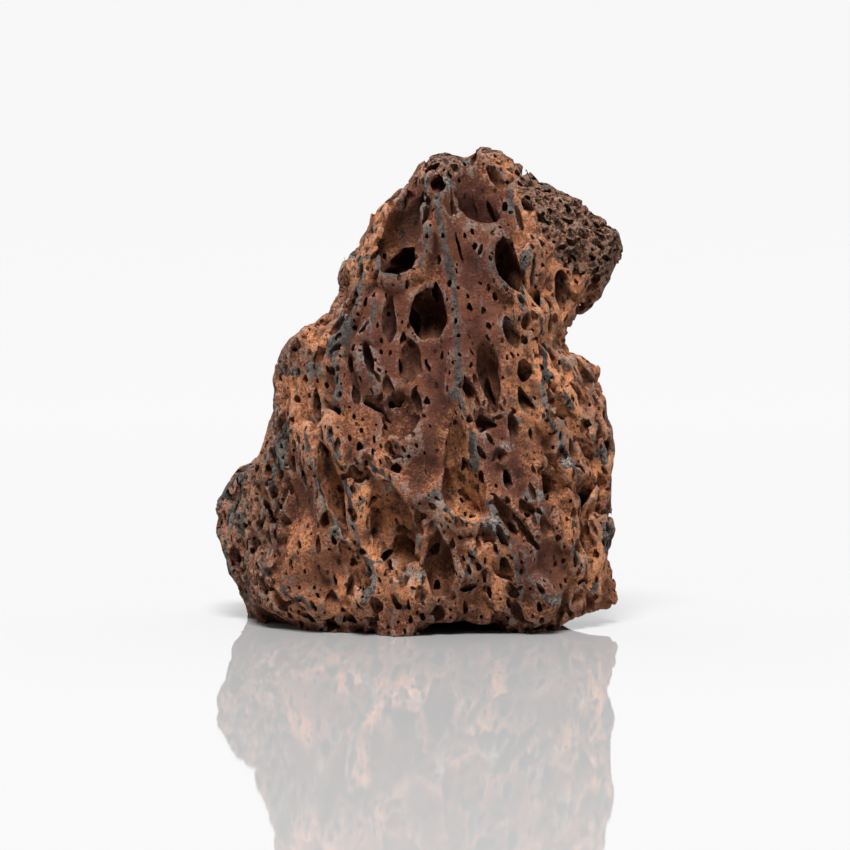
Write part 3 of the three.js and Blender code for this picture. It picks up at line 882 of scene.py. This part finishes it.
OVERHANG = 0.35  # mm, how far the edge is left outside the outline before bubbles eat into it
UNTRIMMED = 3.0  # mm up from the floor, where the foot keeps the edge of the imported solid
ROUNDING = 1.2  # how softly the cut meets the face


def trim_to_outline(field):
    """Cuts away what would show outside the outline, and rounds the edge of the cut."""
    index, points = field.near(5.0)
    across, up = shown(points)
    beyond = np.where(up < UNTRIMMED, -5.0, beyond_edge(across, up) - OVERHANG)
    stone = field.stone[index]
    gap = stone - beyond
    field.stone[index] = 0.5 * (stone + beyond + np.sqrt(gap * gap + ROUNDING))


ROOTED = 0.8  # lengths of a spur from its tip down to its foot
FRONT_SHARE = 0.65  # how near a spur is to the front of the stone: 1 at the front, 0 at the back


def raise_spurs(field):
    """Stands small spurs on the edge of the stone, nearer to the front of its thickness there."""
    y = (field.low[1] + np.arange(field.stone.shape[1])) * field.pitch
    for across, up, width, length, lean in SPURS:
        tilt = math.radians(lean)
        along = np.array([-math.sin(tilt), 0.0, math.cos(tilt)])
        root = ROOTED * length * along
        foot = np.array([across, 0.0, up]) - root
        for _ in range(4):
            i, _, k = np.rint(foot / field.pitch - field.low).astype(int)
            inside = y[field.stone[i, :, k] < 0]
            if len(inside):
                foot[1] = FRONT_SHARE * inside[0] + (1 - FRONT_SHARE) * inside[-1]
            shown_x, shown_z = shown(foot[None])
            foot[0] += across - root[0] - shown_x[0]
            foot[2] += up - root[2] - shown_z[0]
        centre = foot + 0.3 * length * along
        place = centre / field.pitch - field.low
        low = np.clip(place - length / field.pitch, 0, field.stone.shape).astype(int)
        high = np.clip(place + length / field.pitch, 0, field.stone.shape).astype(int)
        box = tuple(slice(a, b) for a, b in zip(low, high))
        x, deep, z = field.axes(low, high)
        x, deep, z = x - centre[0], deep - centre[1], z - centre[2]
        rise = x * along[0] + z * along[2]
        side = x * along[2] - z * along[0]
        size = np.sqrt((rise / (length / 2)) ** 2 + (side / (width / 2)) ** 2 + (deep / width) ** 2)
        wall = (size - 1) * width / 2
        gap = field.stone[box] - wall
        field.stone[box] = 0.5 * (field.stone[box] + wall - np.sqrt(gap * gap + 0.3))


def roughen(field):
    """Streaks, lumps and tatters, stronger where the stone is froth or crust than in smooth skin."""
    index, points = field.near(2.6)
    across, up = shown(points)
    front = soft_step(-points[:, 1], -4.0, 8.0)
    skin = soft_step(patch(SKIN_PATCHES, across, up), -0.1, 0.5) * front
    crust = soft_step(patch(CRUST_PATCHES, across, up), -0.1, 0.3)
    porous = soft_step(patch(POROUS_PATCHES, across, up), -0.1, 0.3)
    rough = 1 - 0.7 * skin
    drift = points[:, :1] + 0.09 * points[:, 2:]
    flow = np.hstack([drift / 3.6, points[:, 1:2] / 3.6, points[:, 2:] / 15.0])
    streaks = np.maximum(1 - 5 * np.abs(Noise("streaks")(flow)), 0) * (1 - crust)
    lumps = Noise("lumps")(points / [5.0, 5.0, 10.0]) * 0.7
    tatters = Noise("tatters")(points / [2.0, 2.0, 4.0]) * 0.35
    grain = Noise("grain")(points / 1.1) * 0.2
    knobs = Noise("knobs")(points / 1.4) * 0.9
    push = (lumps + tatters + grain) * rough + knobs * np.maximum(crust, 0.5 * porous) - 0.35 * streaks
    field.stone[index] += push.astype(np.float32)
    edge = 1.3 * soft_step(beyond_edge(across, up), -4.0, -0.5)
    frothy = np.maximum(np.maximum(porous, edge), np.maximum(1 - front, 0.15 * (1 - skin)))
    frothy = np.maximum(crust, frothy)
    pick = (frothy > 0.05) & (np.abs(field.stone[index]) < 1.6)
    index = tuple(i[pick] for i in index)
    points, crust, porous, frothy = points[pick], crust[pick], porous[pick], frothy[pick]
    x, y, z = points.T
    turned = np.stack([x + 0.5 * z, y, z - 0.5 * x], axis=1)
    fine = Cells("fine cells")(turned / [1.6, 2.1, 2.1])
    sizes = np.where(porous[:, None] > 0.5, [1.9, 2.3, 5.5], [2.4, 2.4, 3.3])
    tall = Cells("tall cells")(points / sizes)
    cells = np.where(crust > 0.5, 2.0 * (0.5 - fine), frothy * (1.15 - 1.4 * tall - 0.9 * fine))
    field.stone[index] += cells.astype(np.float32)


def froth_at(points):
    """The kind of froth at each point, as a place in a pass's list of shares, with ragged borders."""
    across, up = shown(points)
    ragged = Noise("froth borders")(points / 5.0) * 0.3
    ragged = ragged + Noise("fine froth borders")(points / 1.5) * 0.15
    front = points[:, 1] < 2.0 + 6 * ragged
    kinds = np.where(front, 1, 4)
    kinds[(patch(SKIN_PATCHES, across, up) + ragged > 0.05) & front] = 0
    kinds[patch(CRUST_PATCHES, across, up) + ragged > 0.0] = 2
    kinds[patch(POROUS_PATCHES, across, up) + ragged > 0.0] = 3
    return kinds


def lean_at(points, random):
    """How far the bubbles lean at each point, in radians, taken from the large hollows nearby."""
    across, up = shown(points)
    total = np.zeros(len(points))
    weights = np.full(len(points), 1e-6)
    for x, z, length, _, _, lean in HOLLOWS:
        if length > 3:
            weight = 1 / ((across - x) ** 2 + (up - z) ** 2 + 9) ** 1.5
            total += weight * lean
            weights += weight
    crust = soft_step(patch(CRUST_PATCHES, across, up), -0.1, 0.2)
    lean = total / weights * (1 - crust) + 50 * crust
    facing = np.where(points[:, 1] < 4, 1.0, 0.2)
    return np.radians(lean * facing + random.normal(0, 9, len(points)))


# Passes of bubbles, from scoops to pores. Widths and the wall left to the next bubble are in mm, and
# lengths and depth are in widths. A pass keeps a distance off the ribs of the face, and makes a share of
# its tries in skin, open froth, crust, porous froth, and at the back.
PASSES = {
    "scoops": {
        "widths": (3.0, 6.0), "lengths": (2.4, 4.2), "depth": 0.22, "wall": -0.6, "off_ribs": 1.5,
        "shares": (0.0, 0.04, 0.0, 0.2, 0.8)},
    "wide bubbles": {
        "widths": (2.2, 4.2), "lengths": (1.3, 2.4), "depth": 0.6, "wall": 0.6, "off_ribs": None,
        "shares": (0.0, 0.05, 0.0, 0.03, 0.06)},
    "bubbles": {
        "widths": (1.1, 2.0), "lengths": (1.3, 2.8), "depth": 0.8, "wall": 0.5, "off_ribs": None,
        "shares": (0.02, 0.12, 0.25, 0.2, 0.09)},
    "small bubbles": {
        "widths": (0.7, 1.3), "lengths": (1.0, 2.2), "depth": 1.0, "wall": 0.4, "off_ribs": None,
        "shares": (0.13, 0.55, 0.9, 0.5, 0.16)},
}
TRIES = 42000
LARGE = 3.0  # mm, the width from which a pass keeps off the wide hollows
STEPS = (1.0, 0.6, 0.25, 0.0)  # shares of the range of widths, worked through from the widest
LOWEST = 0.3  # mm above the floor
SHELTERED = 2.5  # mm behind the face, where few bubbles are made
IN_SHELTER = 0.05  # share of them that is made
DIVE = math.radians(20)  # how steeply bubbles go into the stone


def blow_bubbles(field, face, name, share):
    """Makes one pass of bubbles over the surface, each where a wall is left to the others."""
    kind = PASSES[name]
    narrow, wide = kind["widths"]
    short, long = kind["lengths"]
    deep = kind["depth"]
    random = np.random.default_rng(SEED + list(PASSES).index(name))
    surface = np.array(field.polygons()[0], np.float32)
    surface = surface[surface[:, 2] > LOWEST]
    points = surface[random.permutation(len(surface))[: int(TRIES * share)]]
    points = points[random.random(len(points)) < np.array(kind["shares"])[froth_at(points)]]
    sunken = points[:, 1] - face.at(points[:, 0], points[:, 2])
    open_air = (points[:, 1] > 2) | (sunken < SHELTERED)
    points = points[open_air | (random.random(len(points)) < IN_SHELTER)]
    if kind["off_ribs"]:
        points = points[(points[:, 1] > 0) | (distance_to_ribs(*shown(points)) > kind["off_ribs"])]
    outward = field.slope(points)
    leans = lean_at(points, random)
    sizes = random.random(len(points))
    stretches = short + (long - short) * random.random(len(points))
    layer = field.large if wide > LARGE else field.small
    for top, bottom in zip(STEPS, STEPS[1:]):
        radii = (narrow + (wide - narrow) * (bottom + (top - bottom) * sizes)) / 2
        for i in random.permutation(len(points)):
            radius, stretch = radii[i], stretches[i]
            place = np.rint(points[i] / field.pitch - field.low).astype(int)
            if layer[tuple(place)] < radius * (0.7 + 0.3 * stretch) + kind["wall"]:
                continue
            axes = flow_axes(outward[i], leans[i], DIVE)
            size = (radius * stretch, radius, 2 * radius * deep)
            centre = points[i] - outward[i] * 2 * radius * (deep - 0.27) * 0.4
            carve(field, layer, centre, axes, size, taper=0.4, rim=0.05, lip=0.05, ragged=0.08)


CARRIED = 1.6  # mm above the floor, from which the walls are carried down


def carry_down(field):
    """Carries the walls straight down through the floor, so that smoothing leaves the foot's edge."""
    slices = int(round(CARRIED / field.pitch - field.low[2]))
    field.stone[:, :, :slices] = field.stone[:, :, slices:slices + 1]


# Low arches under the foot: the middle of each, and its radii.
ARCHES = [
    ((10.0, -30.0, -0.4), (10.0, 24.0, 3.6)),
    ((44.0, -14.0, -0.5), (10.5, 36.0, 4.2)),
    ((-44.0, -24.0, -0.5), (8.0, 14.0, 3.0)),
]


UNDERCUT = 2.6  # mm, the most that the foot is drawn in


def undercut_foot(field):
    """Draws the foot in towards the floor, more in some places than in others, and cuts arches."""
    index, points = field.near(3.5)
    low = 1 - soft_step(points[:, 2], 0.5, 6.0)
    uneven = 0.5 + 0.9 * Noise("uneven foot")(points * [0.16, 0.16, 0.0])
    field.stone[index] += (UNDERCUT * low * low * np.clip(uneven, 0.1, 1.0)).astype(np.float32)
    for centre, radii in ARCHES:
        carve(field, field.small, np.array(centre), np.eye(3), radii, taper=0.0, rim=0.5)
    field.small[:] = field.reach


CRISPEST = 0.5  # mm, the most that sharpening moves the surface
THINNEST = 0.6  # mm, how far a splinter can stand out of the blurred stone


def sharpen(field):
    """Heightens crests and deepens hollows, then takes off splinters that are too thin to hold."""
    soft = blurred(field.stone, 2)
    field.stone += np.clip(field.stone - soft, -CRISPEST, CRISPEST)
    field.stone[:] = np.maximum(field.stone, soft - THINNEST)


def flatten_foot(field):
    """Cuts the stone off where it stands."""
    _, _, z = field.axes()
    field.stone[:] = np.maximum(field.stone, -z)


# ---- the mesh ----


def mesh_of(name, points, quads):
    """A mesh of four-sided faces."""
    mesh = bpy.data.meshes.new(name)
    mesh.vertices.add(len(points))
    mesh.vertices.foreach_set("co", points.astype(np.float32).ravel())
    mesh.loops.add(len(quads) * 4)
    mesh.loops.foreach_set("vertex_index", quads[:, ::-1].astype(np.int32).ravel())
    mesh.polygons.add(len(quads))
    mesh.polygons.foreach_set("loop_start", np.arange(0, len(quads) * 4, 4, dtype=np.int32))
    mesh.update(calc_edges=True)
    return mesh


def drop_crumbs(mesh):
    """Deletes every island of the mesh but the largest."""
    work = bmesh.new()
    work.from_mesh(mesh)
    work.verts.ensure_lookup_table()
    seen = np.zeros(len(work.verts), bool)
    islands = []
    for start in work.verts:
        if seen[start.index]:
            continue
        seen[start.index] = True
        island, stack = [start], [start]
        while stack:
            for edge in stack.pop().link_edges:
                for vertex in edge.verts:
                    if not seen[vertex.index]:
                        seen[vertex.index] = True
                        island.append(vertex)
                        stack.append(vertex)
        islands.append(island)
    islands.sort(key=len)
    crumbs = [vertex for island in islands[:-1] for vertex in island]
    bmesh.ops.delete(work, geom=crumbs, context="VERTS")
    work.to_mesh(mesh)
    work.free()


COARSENING = 3.0  # how much sooner the back of the stone is thinned out than its face
LEVELS = 20  # steps of weight between the face and the back


def thin_out(piece, triangles):
    """Collapses the mesh to a number of triangles, and keeps more of them on the torn face."""
    mesh = piece.data
    front = soft_step(-points_of(mesh)[:, 1], -8.0, 6.0)
    weights = np.rint((1 - 0.9 * front) * LEVELS).astype(int)
    group = piece.vertex_groups.new(name="coarse")
    for weight in range(1, LEVELS + 1):
        group.add(np.nonzero(weights == weight)[0].tolist(), weight / LEVELS, "REPLACE")
    modifier = piece.modifiers.new("thin out", "DECIMATE")
    modifier.ratio = triangles / (2 * len(mesh.polygons))
    modifier.vertex_group = group.name
    modifier.vertex_group_factor = COARSENING
    modifier.use_collapse_triangulate = True
    with bpy.context.temp_override(object=piece, active_object=piece):
        bpy.ops.object.modifier_apply(modifier=modifier.name)
    piece.vertex_groups.clear()


def store(mesh, name, values):
    """Keeps one number for each vertex of the mesh."""
    attribute = mesh.attributes.new(name, "FLOAT", "POINT")
    attribute.data.foreach_set("value", values.astype(np.float32))


def note_minerals(mesh, field, block, face):
    """Stores on each vertex what the stone is like there, and how deep and how creased it is there for
    painted shade and highlights, for its material to read.

    block holds the distances to the surface as it was before the hollows were cut.
    """
    points = points_of(mesh) / MM
    across, up = shown(points)
    ragged = Noise("mineral borders")(points / 4.0) * 0.35
    ragged = ragged + Noise("fine mineral borders")(points / 1.3) * 0.2
    front = soft_step(-points[:, 1] + 6 * ragged, -6.0, 6.0)
    # depth is for painted shade: how far a point lies inside the stone as it was before the hollows were
    # cut, with 2.4 mm more low on the front, so that the foot darkens too.
    depth = 2.4 * (1 - soft_step(up, 3.0, 13.0)) * front - field.sample(block, points)
    bubble = field.sample(np.minimum(field.large, field.small), points)
    hollow = field.sample(blurred(field.stone, 2), points)
    ribs = distance_to_ribs(across, up)
    face_y = face.at(points[:, 0], points[:, 2])
    proud = 1 - soft_step(points[:, 1] - face_y, 1.5, 3.5)
    grey = np.maximum(
        1 - soft_step(ribs + 1.2 * ragged, -0.35, 0.35),
        soft_step(patch(GREY_PATCHES, across, up) + 0.6 * ragged, 0.0, 0.35))
    spots = Noise("scattered grey")(points * [1, 1, 0.5] / 3.2)
    scattered = soft_step(spots + 0.5 * ragged, 0.42, 0.6)
    back = 1 - front
    porous = soft_step(patch(POROUS_PATCHES, across, up) + 0.3 * ragged, -0.1, 0.3)
    seams = soft_step(Noise("grey seams")(points * [0.6, 0.6, 0.2]) + 0.4 * ragged, 0.05, 0.25)
    scattered = np.maximum(scattered, seams * porous)
    store(mesh, "depth", np.clip(depth / 10, 0, 1))
    store(mesh, "bubble", 1 - soft_step(bubble, -0.35, 0.35))
    # crest lightens the rims, partly as wear and partly as a painted highlight.
    store(mesh, "crest", soft_step(hollow, 0.36, 0.7))
    # relief makes painted shade in creases and a painted highlight on crests.
    store(mesh, "relief", np.clip(0.5 + hollow, 0, 1))
    # dark is painted shade on the shade patches.
    store(mesh, "dark", soft_step(patch(SHADE_PATCHES, across, up), -0.3, 0.6) * front)
    store(mesh, "grey", np.clip(grey * front * proud + scattered * (0.35 + 0.5 * back), 0, 1))
    store(mesh, "pale", soft_step(patch(PALE_PATCHES, across, up) + 0.6 * ragged, 0.0, 0.5) * front)
    skin = soft_step(patch(SKIN_PATCHES, across, up) + 0.5 * ragged, -0.5, 0.6) * front
    ochre = soft_step(patch(OCHRE_PATCHES, across, up) + 0.5 * ragged, -0.7, 0.7) * front
    clouds = soft_step(Noise("ochre clouds")(points / 14.0) + 0.4 * ragged, -0.1, 0.4)
    store(mesh, "ochre", np.clip(np.where(front > 0.5, 0.42 + 0.6 * ochre - 0.42 * skin, clouds), 0, 1))
    store(mesh, "crust", np.maximum(
        soft_step(patch(CRUST_PATCHES, across, up) + 0.4 * ragged, -0.05, 0.15),
        0.6 * soft_step(patch(POROUS_PATCHES, across, up) + 0.4 * ragged, 0.0, 0.3)))


# ---- the material ----


class Nodes:
    """Short ways to add and join the nodes of a material or a world."""

    def __init__(self, owner):
        self.tree = owner.node_tree
        self.tree.nodes.clear()

    def add(self, kind, inputs=None, **settings):
        node = self.tree.nodes.new(kind)
        for name, value in settings.items():
            setattr(node, name, value)
        for name, value in (inputs or {}).items():
            self.put(value, node.inputs[name])
        return node

    def put(self, value, socket):
        if isinstance(value, bpy.types.NodeSocket):
            self.tree.links.new(value, socket)
        else:
            socket.default_value = value

    def math(self, operation, a, b):
        return self.add("ShaderNodeMath", {0: a, 1: b}, operation=operation).outputs[0]

    def times(self, a, b):
        return self.math("MULTIPLY", a, b)

    def total(self, first, *others):
        for value in others:
            first = self.math("ADD", first, value)
        return first

    def swing(self, value, gain):
        """How far a value from 0 to 1 is from its middle, times a gain."""
        return self.times(self.math("SUBTRACT", value, 0.5), gain)

    def blend(self, share, a, b, mode="MIX"):
        node = self.add("ShaderNodeMix", data_type="RGBA", blend_type=mode, clamp_factor=True)
        self.put(share, node.inputs[0])
        self.put(a, node.inputs[6])
        self.put(b, node.inputs[7])
        return node.outputs[2]

    def range(self, value, low, high, to_low=0.0, to_high=1.0):
        node = self.add("ShaderNodeMapRange", {
            "Value": value, "From Min": low, "From Max": high, "To Min": to_low, "To Max": to_high})
        node.interpolation_type = "SMOOTHSTEP"
        return node.outputs["Result"]

    def attribute(self, name):
        return self.add("ShaderNodeAttribute", attribute_name=name).outputs["Fac"]


class Scoria(Nodes):
    """The layers of the stone's material, with the textures that several of them share."""

    def __init__(self, material, look):
        super().__init__(material)
        self.place = self.add("ShaderNodeTexCoord").outputs["Object"]
        self.colour = {name: (*getattr(look, name), 1.0) for name in (
            "mauve", "mauve_dark", "ochre", "brown", "grey", "pale", "crust", "pore_shade")}
        self.clouds = self.noise(120.0, 5.0)
        self.blots = self.noise(420.0, 5.0, 0.7)
        self.specks = self.noise(1300.0, 4.0, 0.75)
        self.dust = self.noise(3000.0, 2.0, 0.6)
        pits = self.add("ShaderNodeTexVoronoi", {"Vector": self.place, "Scale": 900.0})
        self.pits = self.range(pits.outputs["Distance"], 0.1, 0.55)
        self.grain = self.total(self.swing(self.pits, 0.1), self.specks, self.swing(self.blots, 0.5))
        self.mouths = self.times(self.pores(420.0, 0.2), self.pores(850.0, 0.17))

    def noise(self, scale, detail, rough=0.55):
        return self.add("ShaderNodeTexNoise", {
            "Vector": self.place, "Scale": scale, "Detail": detail, "Roughness": rough}).outputs["Fac"]

    def pores(self, scale, radius):
        """Mouths of bubbles too small to sculpt: 0 in such a mouth and 1 outside. They darken the colour
        as painted shade, and dent the bump.
        """
        squeezed = self.add("ShaderNodeVectorMath", {0: self.place, 1: (1.0, 1.0, 0.6)},
                            operation="MULTIPLY")
        cells = self.add("ShaderNodeTexVoronoi", {
            "Vector": squeezed.outputs[0], "Scale": scale, "Randomness": 1.0})
        chance = self.add("ShaderNodeSeparateColor", {0: cells.outputs["Color"]}).outputs[0]
        size = self.times(self.range(chance, 0.3, 1.0), radius)
        beyond = self.math("SUBTRACT", cells.outputs["Distance"], size)
        return self.range(beyond, -0.01, 0.03)

    def skin(self):
        """Mauve, with darker and warmer clouds."""
        # The dark attribute adds painted shade here; the clouds are the skin's own tone.
        dim = self.total(self.attribute("dark"), self.swing(self.clouds, 2.2))
        skin = self.blend(self.range(dim, 0.0, 1.0), self.colour["mauve"], self.colour["mauve_dark"])
        warm = self.times(self.range(self.noise(70.0, 3.0), 0.48, 0.62), 0.55)
        return self.blend(warm, skin, self.colour["brown"])

    def froth(self):
        """Ochre, blotted with brown."""
        dim = self.total(self.blots, self.swing(self.clouds, 1.0))
        return self.blend(self.range(dim, 0.36, 0.66), self.colour["ochre"], self.colour["brown"])

    def crumbs(self):
        """Dark crumbs of the crust, with ochre on some of them. Where the crust's grain dips, it takes
        the darkest colour as painted shade.
        """
        dark = self.blend(self.range(self.grain, 0.42, 0.5), self.colour["pore_shade"], self.colour["crust"])
        return self.blend(self.range(self.grain, 0.52, 0.66, 0.0, 0.6), dark, self.colour["ochre"])

    def unweathered(self):
        """Grey lava, grained with crust and clouded with ash."""
        grained = self.range(self.grain, 0.46, 0.62, 0.0, 0.7)
        grey = self.blend(grained, self.colour["grey"], self.colour["crust"])
        return self.blend(self.range(self.clouds, 0.5, 0.66, 0.0, 0.2), grey, self.colour["pale"])

    def minerals(self):
        """Skin and froth, then the walls of bubbles, the crust, grey lava and flecks over them."""
        ochre = self.attribute("ochre")
        mixed = self.total(self.swing(self.blots, 2.4), self.swing(self.specks, 2.4), ochre)
        base = self.blend(self.range(mixed, 0.1, 0.9), self.skin(), self.froth())
        base = self.blend(self.times(self.attribute("bubble"), 0.45), base, self.colour["brown"])
        base = self.blend(self.times(self.attribute("crust"), 0.85), base, self.crumbs())
        broken = self.total(self.swing(self.blots, 2.0), self.swing(self.specks, 1.6))
        bare = self.total(self.attribute("grey"), broken)
        base = self.blend(self.range(bare, 0.38, 0.52), base, self.unweathered())
        flecks = self.total(self.blots, self.swing(self.specks, 0.7), self.swing(ochre, 0.08))
        return self.blend(self.range(flecks, 0.585, 0.625, 0.0, 0.65), base, self.colour["grey"])

    def worn_and_highlit(self, base):
        """Lays ash on its patches and makes the crests pale, partly as wear and partly as a painted
        highlight.
        """
        ash = self.times(self.attribute("pale"), self.range(self.specks, 0.4, 0.6))
        base = self.blend(self.times(ash, 0.85), base, self.colour["pale"])
        patchy = self.range(self.total(self.specks, self.swing(self.blots, 0.8)), 0.42, 0.58)
        rubbed_and_highlit = self.times(self.attribute("crest"), patchy)
        rubbed_and_highlit = self.times(rubbed_and_highlit, self.range(self.attribute("crust"), 0.0, 1.0, 0.6, 0.25))
        return self.blend(rubbed_and_highlit, base, self.colour["pale"])

    def shaded(self, base):
        """Paints shade into creases, depths and pores and a highlight onto crests, and speckles the
        whole.
        """
        # Painted shade in creases and a painted highlight on crests.
        base = self.brightened(base, self.range(self.attribute("relief"), 0.1, 0.9, 0.68, 1.14))
        # Painted shade in the depths of the hollows and on the foot.
        sunk = self.range(self.attribute("depth"), 0.2, 0.85, 0.0, 0.95)
        base = self.blend(sunk, base, self.colour["pore_shade"])
        # Painted shade in the mouths of bubbles too small to sculpt.
        base = self.blend(self.range(self.mouths, 0.0, 1.0, 0.92, 0.0), base, self.colour["pore_shade"])
        return self.brightened(base, self.range(self.dust, 0.3, 0.7, 0.78, 1.22))

    def brightened(self, base, value):
        grey = self.add("ShaderNodeCombineColor", {"Red": value, "Green": value, "Blue": value})
        return self.blend(1.0, base, grey.outputs[0], mode="MULTIPLY")

    def height(self):
        """The grit and pores that are too fine for the mesh."""
        return self.total(
            self.times(self.blots, 1.2), self.times(self.specks, 1.1), self.times(self.dust, 0.4),
            self.times(self.mouths, 0.7),
            self.times(self.times(self.pits, self.attribute("crust")), 0.7))


def scoria_material(look):
    """Mauve skin and ochre froth with grey ribs, pale rims that are partly wear and partly a painted
    highlight, and painted shade in creases, hollows and pores.
    """
    material = bpy.data.materials.new("scoria")
    material.use_nodes = True
    n = Scoria(material, look)
    colour = n.shaded(n.worn_and_highlit(n.minerals()))
    bump = n.add("ShaderNodeBump", {"Strength": 1.0, "Distance": 0.6 * MM, "Height": n.height()})
    shader = n.add("ShaderNodeBsdfPrincipled", {
        "Base Color": colour, "Roughness": 0.85, "Specular IOR Level": 0.2,
        "Normal": bump.outputs["Normal"]})
    n.add("ShaderNodeOutputMaterial", {"Surface": shader.outputs[0]})
    return material


def floor_material(colour):
    """Gloss that passes into the backdrop far away, so that no horizon shows."""
    material = bpy.data.materials.new("floor")
    material.use_nodes = True
    n = Nodes(material)
    shader = n.add("ShaderNodeBsdfPrincipled", {
        "Base Color": (*colour, 1.0), "Roughness": FLOOR_ROUGHNESS, "IOR": FLOOR_IOR})
    place = n.add("ShaderNodeTexCoord").outputs["Object"]
    distance = n.add("ShaderNodeVectorMath", {0: place}, operation="LENGTH").outputs["Value"]
    clear = n.add("ShaderNodeBsdfTransparent")
    mix = n.add("ShaderNodeMixShader", {
        0: n.range(distance, *FLOOR_FADE), 1: shader.outputs[0], 2: clear.outputs[0]})
    n.add("ShaderNodeOutputMaterial", {"Surface": mix.outputs[0]})
    return material


def studio_world():
    """A white backdrop behind the stone and a dim room before it."""
    world = bpy.data.worlds.new("studio")
    world.use_nodes = True
    n = Nodes(world)
    direction = n.add("ShaderNodeTexCoord").outputs["Generated"]
    behind = n.add("ShaderNodeSeparateXYZ", {0: direction}).outputs["Y"]
    background = n.add("ShaderNodeBackground", {
        "Color": (1.0, 1.0, 1.0, 1.0),
        "Strength": n.range(behind, *BACKDROP_EDGE, ROOM_LIGHT, BACKDROP_LIGHT)})
    n.add("ShaderNodeOutputWorld", {"Surface": background.outputs[0]})
    return world


# ---- operators ----


class MESH_OT_lava_rock_surface(bpy.types.Operator):
    """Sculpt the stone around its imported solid"""

    bl_idname = "mesh.lava_rock_surface"
    bl_label = "Stone"

    def execute(self, context):
        settings = context.scene.lava_rock
        field = Field(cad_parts[NODE].data, settings.pitch / MM, reach=8.0)
        carry_down(field)
        field.stone = blurred(field.stone, 2) - settings.swelling / MM
        trim_to_outline(field)
        block = field.stone.copy()
        face = Face(field)
        raise_ribs(field, face, settings.rib_height / MM)
        undercut_foot(field)
        blow_bubbles(field, face, "scoops", settings.bubbles)
        field.large[:] = field.reach
        raise_spurs(field)
        roughen(field)
        for hollow in sorted(HOLLOWS, key=lambda h: h[2] * h[3], reverse=True):
            carve_hollow(field, face, hollow)
        for name in list(PASSES)[1:]:
            blow_bubbles(field, face, name, settings.bubbles)
        sharpen(field)
        flatten_foot(field)
        points, quads = field.polygons()
        mesh = mesh_of("lava_rock_surface", points, quads)
        piece = bpy.data.objects.new("lava_rock_surface", mesh)
        context.collection.objects.link(piece)
        thin_out(piece, settings.triangles)
        mesh = piece.data
        drop_crumbs(mesh)
        mesh.transform(Matrix.Scale(MM, 4))
        mesh.shade_smooth()
        mesh.set_sharp_from_angle(angle=math.radians(48))
        note_minerals(mesh, field, block, face)
        mesh.materials.append(scoria_material(settings))
        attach(piece, "root")
        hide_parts(NODE)
        return {"FINISHED"}


class SCENE_OT_lava_rock_studio(bpy.types.Operator):
    """Set up the floor, the light and the camera"""

    bl_idname = "scene.lava_rock_studio"
    bl_label = "Studio"

    def execute(self, context):
        settings = context.scene.studio
        self.add_floor(context, settings)
        self.add_lights(context)
        self.add_camera(context)
        context.scene.view_settings.view_transform = "Standard"
        return {"FINISHED"}

    def add_floor(self, context, settings):
        half = settings.floor_size / 2
        mesh = bpy.data.meshes.new("floor")
        corners = [(-half, -half, 0), (half, -half, 0), (half, half, 0), (-half, half, 0)]
        mesh.from_pydata(corners, [], [(0, 1, 2, 3)])
        floor = bpy.data.objects.new("floor", mesh)
        context.collection.objects.link(floor)
        mesh.materials.append(floor_material(settings.floor_colour))

    def add_lights(self, context):
        """A soft light from above and before the stone, and the studio around it."""
        context.scene.world = studio_world()
        data = bpy.data.lights.new("key", "SUN")
        data.energy = SUN_LIGHT
        data.angle = SUN_WIDTH
        key = bpy.data.objects.new("key", data)
        key.rotation_euler = Vector(SUN_FALL).to_track_quat("-Z", "Y").to_euler()
        context.collection.objects.link(key)

    def add_camera(self, context):
        data = bpy.data.cameras.new("camera")
        data.lens = LENS
        data.sensor_width = SENSOR
        camera = bpy.data.objects.new("camera", data)
        away = Vector((0, math.cos(LOOK_DOWN), -math.sin(LOOK_DOWN)))
        camera.location = (Vector(AIM) - away * DISTANCE) * MM
        camera.rotation_euler = away.to_track_quat("-Z", "Y").to_euler()
        context.collection.objects.link(camera)
        context.scene.camera = camera


class VIEW3D_PT_lava_rock(bpy.types.Panel):
    """Settings and steps of the lava rock"""

    bl_label = "Lava Rock"
    bl_space_type = "VIEW_3D"
    bl_region_type = "UI"
    bl_category = "Lava Rock"

    def draw(self, context):
        layout = self.layout
        for settings in (context.scene.lava_rock, context.scene.studio):
            for name in settings.bl_rna.properties.keys():
                if name not in ("rna_type", "name"):
                    layout.prop(settings, name)
        for operator in (MESH_OT_lava_rock_surface, SCENE_OT_lava_rock_studio):
            layout.operator(operator.bl_idname)


CLASSES = (
    LavaRockSettings,
    StudioSettings,
    MESH_OT_lava_rock_surface,
    SCENE_OT_lava_rock_studio,
    VIEW3D_PT_lava_rock,
)


def register():
    for cls in CLASSES:
        bpy.utils.register_class(cls)
    bpy.types.Scene.lava_rock = PointerProperty(type=LavaRockSettings)
    bpy.types.Scene.studio = PointerProperty(type=StudioSettings)


def unregister():
    del bpy.types.Scene.studio
    del bpy.types.Scene.lava_rock
    for cls in reversed(CLASSES):
        bpy.utils.unregister_class(cls)


def main():
    register()
    bpy.ops.mesh.lava_rock_surface()
    bpy.ops.scene.lava_rock_studio()


if __name__ == "__main__":
    main()
